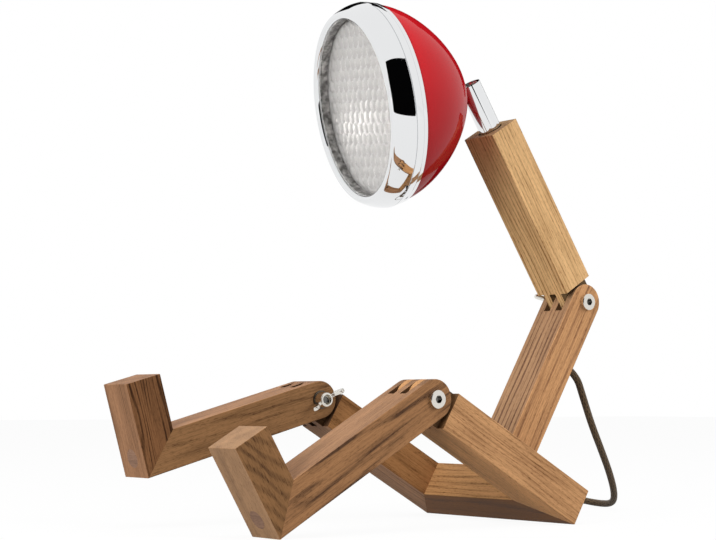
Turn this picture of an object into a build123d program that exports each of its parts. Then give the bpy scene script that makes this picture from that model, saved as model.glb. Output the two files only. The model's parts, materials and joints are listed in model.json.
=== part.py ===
from build123d import *
import os
from math import asin, atan2, cos, degrees, hypot, pi, radians, sin, tan

# Robot shaped desk lamp, sitting on the back edge of its hip frame and one heel.
# Millimetres, Z up. It faces -Y and its left side is +X. The origin is on the ground,
# midway along the lamp's width and length.

# ---- Wood stock and limbs ----
STOCK_W = 27.5          # every wooden member, across the lamp
STOCK_T = 22.5          # every wooden member, front to back
HIP_W = 140.0           # hip frame, outside to outside
THIGH_L = 125.0         # knee axis to the back face of the hips
SHIN_L = 125.0          # knee axis to the sole
LOWER_TORSO_L = 125.0   # waist axis to the top of the crossbar
UPPER_TORSO_L = 125.0   # waist axis to the neck end
FOOT_L = 55.0           # heel to toe
FOOT_H = 22.5           # sole to instep
ARRIS = 0.5             # rounding of the long edges

# ---- Pose as modelled, degrees ----
THIGH_PITCH = 30.3      # hip frame above the ground, towards the knees
RIGHT_SHIN_DROP = 15.6  # shin below the horizontal; the left one drops until its heel rests
TORSO_LEAN = 57.8       # upper torso above the horizontal, leaning forward
HEAD_SWIVEL = -14.0     # about the neck, straight ahead is 0
HEAD_RAISE = 20.3       # above square to the neck

# ---- Finger hinges ----
FINGERS = 5             # bands across the stock, taken in turn by the two members
FINGER_GAP = 0.2        # between neighbouring fingers
SHOULDER = 12.8         # hinge axis to the flat shoulders and slot bottoms

# ---- Hinge hardware ----
BOLT_D = 6.0
BOLT_CLEARANCE = 0.05   # radial, in every hole that a bolt or pin passes
BOLT_HEAD_D = 10.2
BOLT_HEAD_H = 3.0
BOLT_HEAD_CHAMFER = 0.35
SOCKET_AF = 4.0
SOCKET_DEPTH = 1.8
BOLT_CHAMFER = 0.6
BOLT_RECESS = 2.2       # end of the bolt inside the nut's outer end
WASHER_D = 11.0
WASHER_T = 1.0
NUT_HUB_D = 9.8
NUT_HUB_TOP_D = 8.4
NUT_HUB_H = 6.2
NUT_HUB_FILLET = 0.5
WING_SPAN = 25.0
WING_RISE = 9.6         # base of the nut to the top of its wings
WING_T = 2.2
WING_TIP_R = 2.3
WING_TIP_LEAN = (2.6, 3.2)   # inward and down, across its rounded tip
WING_ROOT_R = 2.4
WING_ROOT_AT = (3.4, 2.8)    # out from the nut's axis and up from its base
WING_FILLET = 0.6
LEFT_KNEE_WING = 62.0   # direction of each nut's wings, degrees from +Y towards +Z
RIGHT_KNEE_WING = 29.0
WAIST_WING = 153.0

# ---- Glued joints ----
DOWEL_D = 8.0
MITRE_DOWEL_L = 24.0
TORSO_DOWEL_L = 40.0
TORSO_DOWEL_SINK = 16.0     # of that, in the crossbar
TORSO_DOWEL_SPACING = 14.0
GLUE_GAP = 0.05             # radial, and at the ends of the dowels ten times as much
PLUG_D = 11.0
PLUG_T = 3.0
SCREW_D = 4.0
SCREW_L = 34.0
SCREW_HEAD_D = 8.0
SCREW_HEAD_H = 2.4

# ---- Neck ----
TUBE_D = 14.0
TUBE_WALL = 1.3
TUBE_ABOVE = 31.3       # neck end of the wood to the tube's cut end
TUBE_BELOW = 36.0
BUSH_D = 16.0
BUSH_L = 29.2
BUSH_SINK = 0.8         # below the end of the wood
COLLAR_D = 15.4
COLLAR_H = 4.0
TILT_ABOVE = 26.8       # neck end of the wood to the tilt axis
FORK_L = 18.0
FORK_RECESS = 1.0       # below the tube's cut end
TAB_T = 4.0
TAB_R = 3.2
TAB_SLACK = 0.1         # each side of the tab in its fork
SLOT_BELOW = 5.5        # tilt axis to the bottom of the tube's slot
TILT_PIN_D = 3.0

# ---- Head: its axis starts at the tilt axis and runs forward ----
BOWL_BACK = 8.6         # tilt axis to the flat back
BOWL_FLAT_R = 9.0
BOWL_FLAT_EDGE = 1.0    # width of the cone round the flat
BOWL_R = 60.0
BOWL_DEPTH = 52.9       # depth of its curve, before the flat is cut
BOWL_CUT = 0.7          # of that depth, cut away by the flat
BOWL_WALL = 1.2
BOWL_POWER = (1.336, 1.203)     # of the cosine along the axis, and the sine outward
BEZEL_OVERLAP = 5.2     # the bowl's rim inside the bezel
BEZEL_GAP = 0.05
BEZEL_WALL = 1.5
BEZEL_HEM = 2.6
BEZEL_HEM_STEP = 0.25
BEZEL_BACK_OUT = 1.1    # its narrower back, outside the bowl's radius
BEZEL_MAX_OUT = 2.6     # its widest place, outside the bowl's radius
BEZEL_MAX_AT = 10.0     # and forward of the bowl's edge
BEZEL_FRONT_IN = 1.7    # where its rolled rim starts, inside the bowl's radius
BEZEL_FRONT_AT = 20.2
RIM_CROWN = 1.3         # of the rolled rim, forward of where it starts
RIM_LIP = 0.5           # inner edge of the rim, back from where it starts
OPENING_IN = 6.8        # the bezel's opening, inside the bowl's radius
LENS_IN = 1.0           # edge of the lens, inside the bowl's radius
LENS_T = 3.2
LENS_FRONT_AT = 13.1    # front of the lens, forward of the bowl's edge
GASKET_W = 5.5
REFLECTOR_T = 0.9
REFLECTOR_DEPTH = 35.9
THROAT_GAP = 1.2        # lamp holder to the reflector's throat
STUD_D = 8.0
STUD_L = 11.4
STUD_WASHER_D = 15.0
STUD_WASHER_T = 1.2
STUD_NUT_AF = 12.0
STUD_NUT_H = 4.0
HOLDER_D = 20.0
HOLDER_PAST = 3.0       # the holder's end forward of the throat
BULB_D = 16.0
BULB_NECK_D = 11.0
BULB_NECK_L = 5.0
BULB_L = 26.0

# ---- Supply cord ----
CORD_D = 4.5
GLAND_AT = 37.5         # waist axis to the gland, down the lower torso's back
GLAND_BORE_D = 8.0
GLAND_SINK = 12.0
GLAND_D = 9.6
GLAND_OUT = 4.0
COIL_ACROSS = 50.0      # coil, at the middle of its turns
COIL_ROWS = 3           # turns side by side, and layers
COIL_AT = (-100.0, 78.0)
SWITCH_L = 56.0
SWITCH_W = 21.0
SWITCH_H = 15.0
SWITCH_BASE_H = 6.4
SWITCH_CORNER_R = 6.0
SWITCH_BASE_FILLET = 1.2
SWITCH_TOP_FILLET = 2.0
SWITCH_NECK_L = 7.0
SWITCH_NECK_D = 8.0
SWITCH_AXIS_Z = 7.5
SWITCH_TURN = 194.0     # degrees from +X, the way the cord runs
ROCKER_L = 15.0
ROCKER_W = 10.0
ROCKER_GAP = 0.3
ROCKER_AXIS_DOWN = 3.2  # top of the cover to the rocker's axis
ROCKER_BELOW = 2.4      # its axis to its underside
ROCKER_ENDS = 4.4       # its axis to its raised ends, and to the hollow between them
ROCKER_HOLLOW = 2.6
ROCKER_PIN_D = 2.0
ROCKER_PIN_L = 1.5      # out of each side
ROCKER_PIN_HOLE = 2.0
ROCKER_TILT = 9.0
PLUG_BODY_L = 34.0
PLUG_BODY_W = 35.0
PLUG_BODY_H = 13.7
PLUG_REAR_W = 14.0
PLUG_NOSE_TAPER = 1.5
PLUG_SHOULDER = 0.55    # of the body's length, from its rear
PLUG_CORNER_R = 3.0
PLUG_EDGE_R = 2.0
PLUG_TAIL_L = 20.0      # tapered strain relief behind the body
PLUG_TAIL_D = (6.4, 9.6)
PIN_D = 4.0
PIN_L = 19.0
PIN_TANG_D = 3.0        # the part of each pin inside the plug
PIN_TANG_L = 8.0
PIN_SPACING = 19.0
PIN_END_R = 1.5
PLUG_TURN = -10.0       # degrees from +X, the way its pins point

HALF_T = STOCK_T / 2
HALF_W = STOCK_W / 2
BAND = STOCK_W / FINGERS
LEG_X = HIP_W / 2 - HALF_W
NUT_END = WASHER_T + NUT_HUB_H      # face of the wood to the nut's outer end


def along(angle, x=0.0):
    """A direction or place in the lamp's side view: degrees from +Y towards +Z."""
    return Vector(x, cos(radians(angle)), sin(radians(angle)))


def member_frame(origin, angle):
    """A member's own frame: X across the lamp, Z along the member away from its hinge."""
    return Plane(origin=origin, x_dir=(1, 0, 0), z_dir=along(angle))


# ---- Joint axes ----
hip_up = 90 - THIGH_PITCH
hip_forward = 180 - THIGH_PITCH
knee_mid = along(hip_forward) * THIGH_L + along(hip_up) * HALF_T
waist_mid = along(hip_forward) * HALF_W + along(hip_up) * (STOCK_T + LOWER_TORSO_L)

# The left shin drops until the heel's corner is on the ground.
heel_reach = hypot(SHIN_L, HALF_T)
left_shin_drop = degrees(asin(knee_mid.Z / heel_reach) - atan2(HALF_T, SHIN_L))

# The lamp reaches from the higher toe to the back of the waist knuckle.
toe_angle = 90 + RIGHT_SHIN_DROP
toe_tip = (knee_mid + along(180 + RIGHT_SHIN_DROP) * SHIN_L + along(toe_angle) * (FOOT_L - HALF_T))
waist_back = waist_mid.Y + WING_SPAN / 2 * abs(cos(radians(WAIST_WING))) + WING_TIP_R / 2
HIP_Y = -(toe_tip.Y + waist_back) / 2

hips = Plane(origin=(0, HIP_Y, 0), x_dir=(1, 0, 0), z_dir=along(hip_up))
knee_mid += Vector(0, HIP_Y, 0)
waist_mid += Vector(0, HIP_Y, 0)
neck_up = 180 - TORSO_LEAN
neck_end = waist_mid + along(neck_up) * UPPER_TORSO_L
tilt_mid = waist_mid + along(neck_up) * (UPPER_TORSO_L + TILT_ABOVE)

thigh_frame = {x: member_frame(knee_mid + Vector(x * LEG_X, 0, 0), -THIGH_PITCH) for x in (1, -1)}
shin_frame = {
    1: member_frame(knee_mid + Vector(LEG_X, 0, 0), 180 + left_shin_drop),
    -1: member_frame(knee_mid - Vector(LEG_X, 0, 0), 180 + RIGHT_SHIN_DROP),
}
lower_frame = member_frame(waist_mid, 180 + hip_up)
upper_frame = member_frame(waist_mid, neck_up)
neck_frame = Plane(member_frame(neck_end, neck_up).location * Rot(0, 0, HEAD_SWIVEL))
tilt_dir = neck_frame.x_dir
head_ahead = neck_frame.y_dir * -cos(radians(HEAD_RAISE)) + neck_frame.z_dir * sin(radians(HEAD_RAISE))
head_frame = Plane(origin=tilt_mid, x_dir=tilt_dir, z_dir=head_ahead)
side_of = {1: "left", -1: "right"}

parts = {}


def place(name, solid, frame):
    """Keeps a finished piece, moved from its own frame to its place in the lamp."""
    parts[name] = frame.location * solid


def rod(diameter, start, end):
    """A round bar along Z."""
    return Pos(0, 0, start) * Cylinder(diameter / 2, end - start, align=(Align.CENTER, Align.CENTER, Align.MIN))


def rod_x(diameter, start, end):
    """A round bar along X."""
    return Rot(0, 90, 0) * rod(diameter, start, end)


def slab(x, y, z):
    """A box from three pairs of limits."""
    centre = [(low + high) / 2 for low, high in (x, y, z)]
    return Pos(*centre) * Box(x[1] - x[0], y[1] - y[0], z[1] - z[0])


def turned(*edges):
    """A solid of revolution about Z, from a closed outline in the XZ plane."""
    return revolve(make_face(Curve() + list(edges)), Axis.Z)


# ---- Wooden members ----
def stock(length):
    """A length of stock along Z whose hinge end is rounded about the X axis."""
    outline = Plane.YZ * (
        Pos(0, length / 2) * Rectangle(STOCK_T, length) + Circle(HALF_T)
    )
    blank = extrude(outline, amount=HALF_W, both=True)
    long_edges = blank.faces().sort_by(Axis.X)[0].edges() + blank.faces().sort_by(Axis.X)[-1].edges()
    far_end = [edge for edge in long_edges if edge.center().Z > length - ARRIS]
    return fillet([edge for edge in long_edges if edge not in far_end], ARRIS)


def hinged(length, outer_fingers):
    """Stock with the fingers of a knuckle: three when the outer bands are kept, else two."""
    wood = stock(length)
    for band in range(FINGERS):
        kept = band % 2 == 0
        if kept == outer_fingers:
            continue
        left = -HALF_W + band * BAND - FINGER_GAP / 2
        wood -= slab((left, left + BAND + FINGER_GAP), (-STOCK_T, STOCK_T), (-STOCK_T, SHOULDER))
    return wood - rod_x(BOLT_D + 2 * BOLT_CLEARANCE, -STOCK_W, STOCK_W)


def dowel_hole(frame, length):
    """The hole for a dowel centred on a frame, a little longer at each end."""
    half = length / 2 + 10 * GLUE_GAP
    return frame.location * rod(DOWEL_D + 2 * GLUE_GAP, -half, half)


mitre_centre = HIP_W / 2 - HALF_W
mitre_dowel_frames = {
    x: Plane(
        origin=hips.from_local_coords((x * mitre_centre, -HALF_W, HALF_T)),
        z_dir=hips.x_dir * x - hips.y_dir,
    )
    for x in (1, -1)
}
torso_dowel_middle = STOCK_T - TORSO_DOWEL_SINK + TORSO_DOWEL_L / 2
torso_dowel_frames = [
    Plane(
        origin=hips.from_local_coords((x, -HALF_W, torso_dowel_middle)),
        z_dir=hips.z_dir,
    )
    for x in (-TORSO_DOWEL_SPACING / 2, TORSO_DOWEL_SPACING / 2)
]

# The crossbar's mitred outline in the hip plane; local -Y runs forward to the knees.
mitre_outline = make_face(
    Polyline(
        (-HIP_W / 2, 0),
        (HIP_W / 2, 0),
        (HIP_W / 2 - STOCK_W, -STOCK_W),
        (STOCK_W - HIP_W / 2, -STOCK_W),
        close=True,
    )
)
mitre_block = Pos(0, 0, -1) * extrude(mitre_outline, amount=STOCK_T + 2)
crossbar_section = Plane.YZ * Pos(-HALF_W, HALF_T) * RectangleRounded(STOCK_W, STOCK_T, ARRIS)
crossbar = extrude(crossbar_section, amount=HIP_W / 2, both=True) & mitre_block
crossbar = hips.location * crossbar
for frame in mitre_dowel_frames.values():
    crossbar -= dowel_hole(frame, MITRE_DOWEL_L)
for frame in torso_dowel_frames:
    crossbar -= dowel_hole(frame, TORSO_DOWEL_L)
parts["crossbar"] = crossbar

for x, side in side_of.items():
    thigh = thigh_frame[x].location * hinged(THIGH_L, outer_fingers=False)
    thigh -= hips.location * mitre_block
    parts[f"thigh_{side}"] = thigh - dowel_hole(mitre_dowel_frames[x], MITRE_DOWEL_L)
    place(f"mitre_dowel_{side}", rod(DOWEL_D, -MITRE_DOWEL_L / 2, MITRE_DOWEL_L / 2), mitre_dowel_frames[x])

lower = lower_frame.location * hinged(LOWER_TORSO_L, outer_fingers=True)
for frame in torso_dowel_frames:
    lower -= dowel_hole(frame, TORSO_DOWEL_L)
gland_frame = Plane(
    origin=lower_frame.from_local_coords((0, -HALF_T, GLAND_AT)),
    z_dir=-lower_frame.y_dir,
)
lower -= gland_frame.location * rod(GLAND_BORE_D + 2 * GLUE_GAP, -GLAND_SINK, 1)
parts["lower_torso"] = lower
dowels = [frame.location * rod(DOWEL_D, -TORSO_DOWEL_L / 2, TORSO_DOWEL_L / 2) for frame in torso_dowel_frames]
parts["torso_dowels"] = Compound(children=dowels)

upper = hinged(UPPER_TORSO_L, outer_fingers=False)
upper -= rod(BUSH_D + 2 * GLUE_GAP, UPPER_TORSO_L - TUBE_BELOW - COLLAR_H, UPPER_TORSO_L + 1)
place("upper_torso", upper, upper_frame)

# ---- Shins, feet and their heel fixings ----
plug_hole = PLUG_T + SCREW_HEAD_H
heel_mitre = Plane.YZ * make_face(
    Polyline(
        (-HALF_T, SHIN_L),
        (FOOT_L - HALF_T + 1, SHIN_L),
        (FOOT_L - HALF_T + 1, SHIN_L - FOOT_H),
        (FOOT_H - HALF_T, SHIN_L - FOOT_H),
        close=True,
    )
)
foot_zone = extrude(heel_mitre, amount=STOCK_W, both=True)
foot_blank = slab(
    (-HALF_W, HALF_W),
    (-HALF_T, FOOT_L - HALF_T),
    (SHIN_L - FOOT_H, SHIN_L),
)
foot_blank = fillet(foot_blank.edges().filter_by(Axis.Y), ARRIS)
foot_blank = foot_blank & foot_zone
toe_edges = foot_blank.faces().sort_by(Axis.Y)[-1].edges()
foot_blank = fillet(toe_edges, ARRIS * 0.8)
heel_hole = rod(PLUG_D + 2 * GLUE_GAP, SHIN_L - plug_hole, SHIN_L + 1)
screw_top = SHIN_L - plug_hole
screw_hole = rod(SCREW_D + 2 * GLUE_GAP, screw_top - SCREW_L - 10 * GLUE_GAP, SHIN_L)
for x, side in side_of.items():
    frame = shin_frame[x]
    shin = hinged(SHIN_L, outer_fingers=True) - foot_zone
    place(f"shin_{side}", shin - screw_hole, frame)
    place(f"foot_{side}", foot_blank - heel_hole - screw_hole, frame)
    place(f"heel_plug_{side}", rod(PLUG_D, SHIN_L - PLUG_T, SHIN_L), frame)
    screw = rod(SCREW_D, screw_top - SCREW_L, screw_top + 0.5)
    screw += rod(SCREW_HEAD_D, screw_top, screw_top + SCREW_HEAD_H)
    place(f"heel_screw_{side}", screw, frame)


# ---- Hinge bolts, washers and wing nuts ----
def hinge_bolt():
    """Head on +X against the wood, threaded end towards -X."""
    bolt = rod_x(BOLT_D, BOLT_RECESS - NUT_END - HALF_W, HALF_W + 1)
    head = rod_x(BOLT_HEAD_D, HALF_W, HALF_W + BOLT_HEAD_H)
    head = chamfer(head.edges().sort_by(Axis.X)[-1], BOLT_HEAD_CHAMFER)
    end = bolt.edges().sort_by(Axis.X)[0]
    hexagon = RegularPolygon(SOCKET_AF / 2, 6, major_radius=False)
    socket = Plane.YZ.offset(HALF_W + BOLT_HEAD_H - SOCKET_DEPTH) * hexagon
    return chamfer(end, BOLT_CHAMFER) + head - extrude(socket, amount=SOCKET_DEPTH + 1)


def wing_nut():
    """Base on the XY plane, its threaded hole along Z, its wings along X."""
    hub = Cone(NUT_HUB_D / 2, NUT_HUB_TOP_D / 2, NUT_HUB_H, align=(Align.CENTER, Align.CENTER, Align.MIN))
    hub = fillet(hub.edges().sort_by(Axis.Z)[-1], NUT_HUB_FILLET)
    tip = Pos(WING_SPAN / 2 - WING_TIP_R, WING_RISE - WING_TIP_R) * Circle(WING_TIP_R)
    bend = Pos(-WING_TIP_LEAN[0], -WING_TIP_LEAN[1]) * tip
    root = Pos(*WING_ROOT_AT) * Circle(WING_ROOT_R)
    outline = make_hull([*tip.edges(), *bend.edges()]) + make_hull([*bend.edges(), *root.edges()])
    wing = extrude(Plane.XZ * outline, amount=WING_T / 2, both=True)
    wing = fillet(wing.edges().filter_by(Axis.Y, reverse=True), WING_FILLET)
    nut = hub + wing + mirror(wing, Plane.YZ)
    return nut - rod(BOLT_D + 2 * BOLT_CLEARANCE, -1, WING_RISE + 1)


def hinge_hardware(name, centre, head_side, wing_angle):
    """A bolt with its head on one side, and a washer and wing nut on the other."""
    flip = Plane(origin=centre, x_dir=(head_side, 0, 0), z_dir=(0, 0, 1))
    place(f"{name}_bolt", hinge_bolt(), flip)
    ring = rod(WASHER_D, 0, WASHER_T) - rod(BOLT_D + 4 * BOLT_CLEARANCE, -1, WASHER_T + 1)
    washer_frame = Plane(
        origin=centre - Vector(head_side * HALF_W, 0, 0),
        x_dir=along(wing_angle),
        z_dir=(-head_side, 0, 0),
    )
    place(f"{name}_washer", ring, washer_frame)
    place(f"{name}_wing_nut", wing_nut(), washer_frame.offset(WASHER_T))


hinge_hardware("knee_left", knee_mid + Vector(LEG_X, 0, 0), 1, LEFT_KNEE_WING)
hinge_hardware("knee_right", knee_mid - Vector(LEG_X, 0, 0), -1, RIGHT_KNEE_WING)
hinge_hardware("waist", waist_mid, 1, WAIST_WING)

# ---- Neck ----
tilt_bore = TILT_PIN_D + 2 * BOLT_CLEARANCE
slot_half = TAB_T / 2 + TAB_SLACK
bore_d = TUBE_D - 2 * TUBE_WALL
tube = rod(TUBE_D, -TUBE_BELOW, TUBE_ABOVE) - rod(bore_d, -TUBE_BELOW - 1, TUBE_ABOVE + 1)
slot = slab((-slot_half, slot_half), (-TUBE_D, TAB_R + 0.4), (TILT_ABOVE - SLOT_BELOW, TUBE_ABOVE + 1))
across = Pos(0, 0, TILT_ABOVE) * rod_x(tilt_bore, -TUBE_D, TUBE_D)
place("neck_tube", tube - slot, neck_frame)
fork_d = bore_d - 2 * GLUE_GAP
fork = rod(fork_d, TUBE_ABOVE - FORK_RECESS - FORK_L, TUBE_ABOVE - FORK_RECESS)
place("tilt_fork", fork - slot - across, neck_frame)
tilt_pin = Pos(0, 0, TILT_ABOVE) * rod_x(TILT_PIN_D, -TUBE_D, TUBE_D)
place("tilt_pin", tilt_pin & rod(fork_d, 0, TUBE_ABOVE), neck_frame)
bush_end = -BUSH_SINK - BUSH_L
bush = rod(BUSH_D, bush_end, -BUSH_SINK) - rod(TUBE_D + 2 * BOLT_CLEARANCE, bush_end - 1, 1)
place("neck_bush", bush, neck_frame)
collar_top = bush_end - FINGER_GAP
collar_end = collar_top - COLLAR_H
collar = rod(COLLAR_D, collar_end, collar_top) - rod(TUBE_D + 2 * GLUE_GAP, collar_end - 1, 1)
place("neck_collar", collar, neck_frame)

# ---- Head ----
# The tilt tab is a flat eye with a threaded stud behind a shoulder.
eye = Plane.YZ * (Circle(TAB_R) + Pos(0, BOWL_BACK / 2) * Rectangle(2 * TAB_R, BOWL_BACK))
stud_end = BOWL_BACK + STUD_L
tab = extrude(eye, amount=TAB_T / 2, both=True) + rod(STUD_D, BOWL_BACK, stud_end)
place("tilt_tab", tab - rod_x(tilt_bore, -TAB_T, TAB_T), head_frame)

bowl_edge = BOWL_BACK + BOWL_DEPTH - BOWL_CUT


def bowl_outline(inset, flat):
    """The bowl's curve in the XZ plane, set in by a wall, from its flat back to its edge."""
    radius = BOWL_R - inset
    depth = BOWL_DEPTH - inset
    start = asin((flat / radius) ** (1 / BOWL_POWER[1]))
    steps = 14
    angles = [start + (pi / 2 - start) * (1 - (1 - step / steps) ** 1.4) for step in range(steps + 1)]
    return [
        (
            radius * sin(angle) ** BOWL_POWER[1],
            0,
            bowl_edge - depth * max(cos(angle), 0) ** BOWL_POWER[0],
        )
        for angle in angles
    ]


def bowl_shell():
    """The painted bowl: curved skin, flat back with a stud hole, straight rim in the bezel."""
    outer = bowl_outline(0, BOWL_FLAT_R)
    inner = bowl_outline(BOWL_WALL, BOWL_FLAT_R)
    front = bowl_edge + BEZEL_OVERLAP
    inside_r = BOWL_R - BOWL_WALL
    back = BOWL_BACK + BOWL_WALL
    flat_r = BOWL_FLAT_R - BOWL_FLAT_EDGE
    outline = [
        Line((0, 0, BOWL_BACK), (flat_r, 0, BOWL_BACK)),
        Line((flat_r, 0, BOWL_BACK), outer[0]),
        Spline(*outer, tangents=((1, 0, 0.15), (0, 0, 1))),
        Line(outer[-1], (BOWL_R, 0, front)),
        Line((BOWL_R, 0, front), (inside_r, 0, front)),
        Line((inside_r, 0, front), inner[-1]),
        Spline(*inner[::-1], tangents=((0, 0, -1), (-1, 0, -0.15))),
        Line(inner[0], (flat_r, 0, back)),
        Line((flat_r, 0, back), (0, 0, back)),
        Line((0, 0, back), (0, 0, BOWL_BACK)),
    ]
    return turned(*outline) - rod(STUD_D + 2 * GLUE_GAP, 0, stud_end)


place("bowl", bowl_shell(), head_frame)

skirt_r = BOWL_R + BEZEL_GAP
skirt_front = bowl_edge + BEZEL_OVERLAP
back_r = BOWL_R + BEZEL_BACK_OUT
max_r = BOWL_R + BEZEL_MAX_OUT
front_r = BOWL_R - BEZEL_FRONT_IN
opening_r = BOWL_R - OPENING_IN
lens_r = BOWL_R - LENS_IN
hem_top = bowl_edge + BEZEL_HEM
hem_r = back_r + BEZEL_HEM_STEP
widest = bowl_edge + BEZEL_MAX_AT
rim_front = bowl_edge + BEZEL_FRONT_AT
rim_mid_r = (front_r + opening_r) / 2
lip_front = rim_front - RIM_LIP
lens_front = bowl_edge + LENS_FRONT_AT
bezel_outline = [
    Line((skirt_r, 0, bowl_edge), (hem_r, 0, bowl_edge)),
    Line((hem_r, 0, bowl_edge), (hem_r, 0, hem_top)),
    Line((hem_r, 0, hem_top), (back_r, 0, hem_top + BEZEL_HEM_STEP)),
    ThreePointArc((back_r, 0, hem_top + BEZEL_HEM_STEP), (max_r, 0, widest), (front_r, 0, rim_front)),
    ThreePointArc((front_r, 0, rim_front), (rim_mid_r, 0, rim_front + RIM_CROWN), (opening_r, 0, lip_front)),
    Line((opening_r, 0, lip_front), (opening_r, 0, lens_front)),
    Line((opening_r, 0, lens_front), (opening_r + BEZEL_WALL, 0, lens_front)),
    Line((opening_r + BEZEL_WALL, 0, lens_front), (opening_r + BEZEL_WALL, 0, lip_front - BEZEL_WALL)),
    Line(
        (opening_r + BEZEL_WALL, 0, lip_front - BEZEL_WALL),
        (front_r - BEZEL_WALL, 0, rim_front - BEZEL_WALL),
    ),
    ThreePointArc(
        (front_r - BEZEL_WALL, 0, rim_front - BEZEL_WALL),
        (max_r - BEZEL_WALL, 0, widest + 1),
        (skirt_r, 0, skirt_front),
    ),
    Line((skirt_r, 0, skirt_front), (skirt_r, 0, bowl_edge)),
]
place("bezel", turned(*bezel_outline), head_frame)

# The bowl's rim presses the reflector, gasket and lens against the bezel's inner wall.
lens_back = lens_front - LENS_T
gasket_back = skirt_front + REFLECTOR_T
throat_back = gasket_back - REFLECTOR_DEPTH
throat_r = HOLDER_D / 2 + THROAT_GAP
place("lens", rod(2 * lens_r, lens_back, lens_front), head_frame)
gasket = rod(2 * lens_r, gasket_back, lens_back) - rod(2 * (lens_r - GASKET_W), 0, lens_back + 1)
place("lens_gasket", gasket, head_frame)


def dish(radius, face):
    """The reflector's curve from its throat to its rim."""
    middle_r = (throat_r + radius) * 0.56
    middle = throat_back + (face - throat_back) * 0.36
    return (throat_r, throat_back), (middle_r, middle), (radius, face)


rim_r = lens_r - GASKET_W
front_curve = [Vector(r, 0, z) for r, z in dish(rim_r, gasket_back)]
back_curve = [Vector(r + REFLECTOR_T, 0, z - REFLECTOR_T) for r, z in dish(rim_r, gasket_back)]
reflector = turned(
    ThreePointArc(*front_curve),
    Line(front_curve[2], (lens_r, 0, gasket_back)),
    Line((lens_r, 0, gasket_back), (lens_r, 0, skirt_front)),
    Line((lens_r, 0, skirt_front), back_curve[2]),
    ThreePointArc(*back_curve[::-1]),
    Line(back_curve[0], front_curve[0]),
)
place("reflector", reflector, head_frame)

nut_back = BOWL_BACK + BOWL_WALL + STUD_WASHER_T
nut_front = nut_back + STUD_NUT_H
stud_hole = rod(STUD_D + 2 * GLUE_GAP, 0, stud_end + 10 * GLUE_GAP)
place("stud_washer", rod(STUD_WASHER_D, BOWL_BACK + BOWL_WALL, nut_back) - stud_hole, head_frame)
nut_outline = RegularPolygon(STUD_NUT_AF / 2, 6, major_radius=False)
stud_nut = Pos(0, 0, nut_back) * extrude(nut_outline, amount=STUD_NUT_H)
place("stud_nut", stud_nut - stud_hole, head_frame)
holder_end = throat_back + HOLDER_PAST
place("lamp_holder", rod(HOLDER_D, nut_front, holder_end) - stud_hole, head_frame)
bulb_dome = holder_end + BULB_L - BULB_D / 2
bulb = rod(BULB_NECK_D, holder_end, holder_end + BULB_NECK_L)
bulb += rod(BULB_D, holder_end + BULB_NECK_L - 2, bulb_dome) + Pos(0, 0, bulb_dome) * Sphere(BULB_D / 2)
place("bulb", bulb, head_frame)

# ---- Supply cord, its gland, in-line switch, coil and plug ----
place(
    "cord_gland",
    rod(GLAND_BORE_D, -GLAND_SINK, 1) + rod(GLAND_D, 0, GLAND_OUT) - rod(CORD_D, GLAND_OUT - 3, GLAND_OUT + 1),
    gland_frame,
)


def hip_place(x, y, z):
    """A place on the cord, measured from the middle of the hips' back edge."""
    return Vector(x, y + HIP_Y, z)


switch_dir = Vector(1, 0, 0).rotate(Axis.Z, SWITCH_TURN)
switch_start = hip_place(-88.0, 127.5, SWITCH_AXIS_Z)
switch_end = switch_start + switch_dir * (SWITCH_L + 2 * SWITCH_NECK_L)
plug_dir = Vector(1, 0, 0).rotate(Axis.Z, PLUG_TURN)
plug_start = hip_place(-68.0, 45.5, PLUG_BODY_H / 2)
rest_z = CORD_D / 2
gland_mouth = gland_frame.from_local_coords((0, 0, GLAND_OUT - 3))
top_z = CORD_D * (COIL_ROWS - 0.5)

hanging_route = [
    gland_mouth,
    gland_frame.from_local_coords((0, 0, GLAND_OUT + 10.5)),
    hip_place(-1.0, 72.4, 75.0),
    hip_place(-4.5, 82.7, 57.5),
    hip_place(-10.0, 96.3, 40.5),
    hip_place(-17.0, 110.2, 25.0),
    hip_place(-25.5, 122.5, 11.5),
    hip_place(-37.0, 132.0, 3.8),
    hip_place(-52.0, 135.4, rest_z + 0.2),
    switch_start - switch_dir * 17.0 - Vector(0, 0, 2.6),
    switch_start,
]
middle_route = [
    switch_end,
    switch_end + switch_dir * 14.0 - Vector(0, 0, 2.4),
    hip_place(-176.0, 95.5, rest_z + 0.4),
    hip_place(-176.5, 79.0, rest_z),
    hip_place(-166.5, 64.0, rest_z),
    hip_place(-149.0, 54.5, rest_z + 0.1),
    hip_place(-129.0, 50.2, rest_z),
    hip_place(-114.0, 50.6, rest_z),
]
plug_route = [
    hip_place(-104.0, 48.0, top_z),
    hip_place(-91.0, 45.6, top_z - 0.8),
    hip_place(-79.0, 45.2, top_z - 3.2),
    plug_start,
]


def cord_tube(name, route):
    """Straight runs joined by arcs as large as the runs allow, and their radii printed."""
    radii = []
    for before, corner, after in zip(route, route[1:], route[2:]):
        incoming = corner - before
        outgoing = after - corner
        half_turn = radians(incoming.get_angle(outgoing)) / 2
        radii.append(0.45 * min(incoming.length, outgoing.length) / tan(half_turn))
    path = FilletPolyline(*route, radius=radii)
    start = Plane(origin=route[0], z_dir=route[1] - route[0])
    parts[name] = sweep(start * Circle(CORD_D / 2), path=path)
    length = path.length
    print(name, "radii", [round(radius, 1) for radius in radii], "length", round(length, 1))
    print(name, "volume over section x length", round(parts[name].volume / (pi * CORD_D**2 / 4 * length), 4))


cord_tube("cord_hanging", hanging_route)
cord_tube("cord_middle", middle_route)
cord_tube("cord_plug_end", plug_route)

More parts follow.
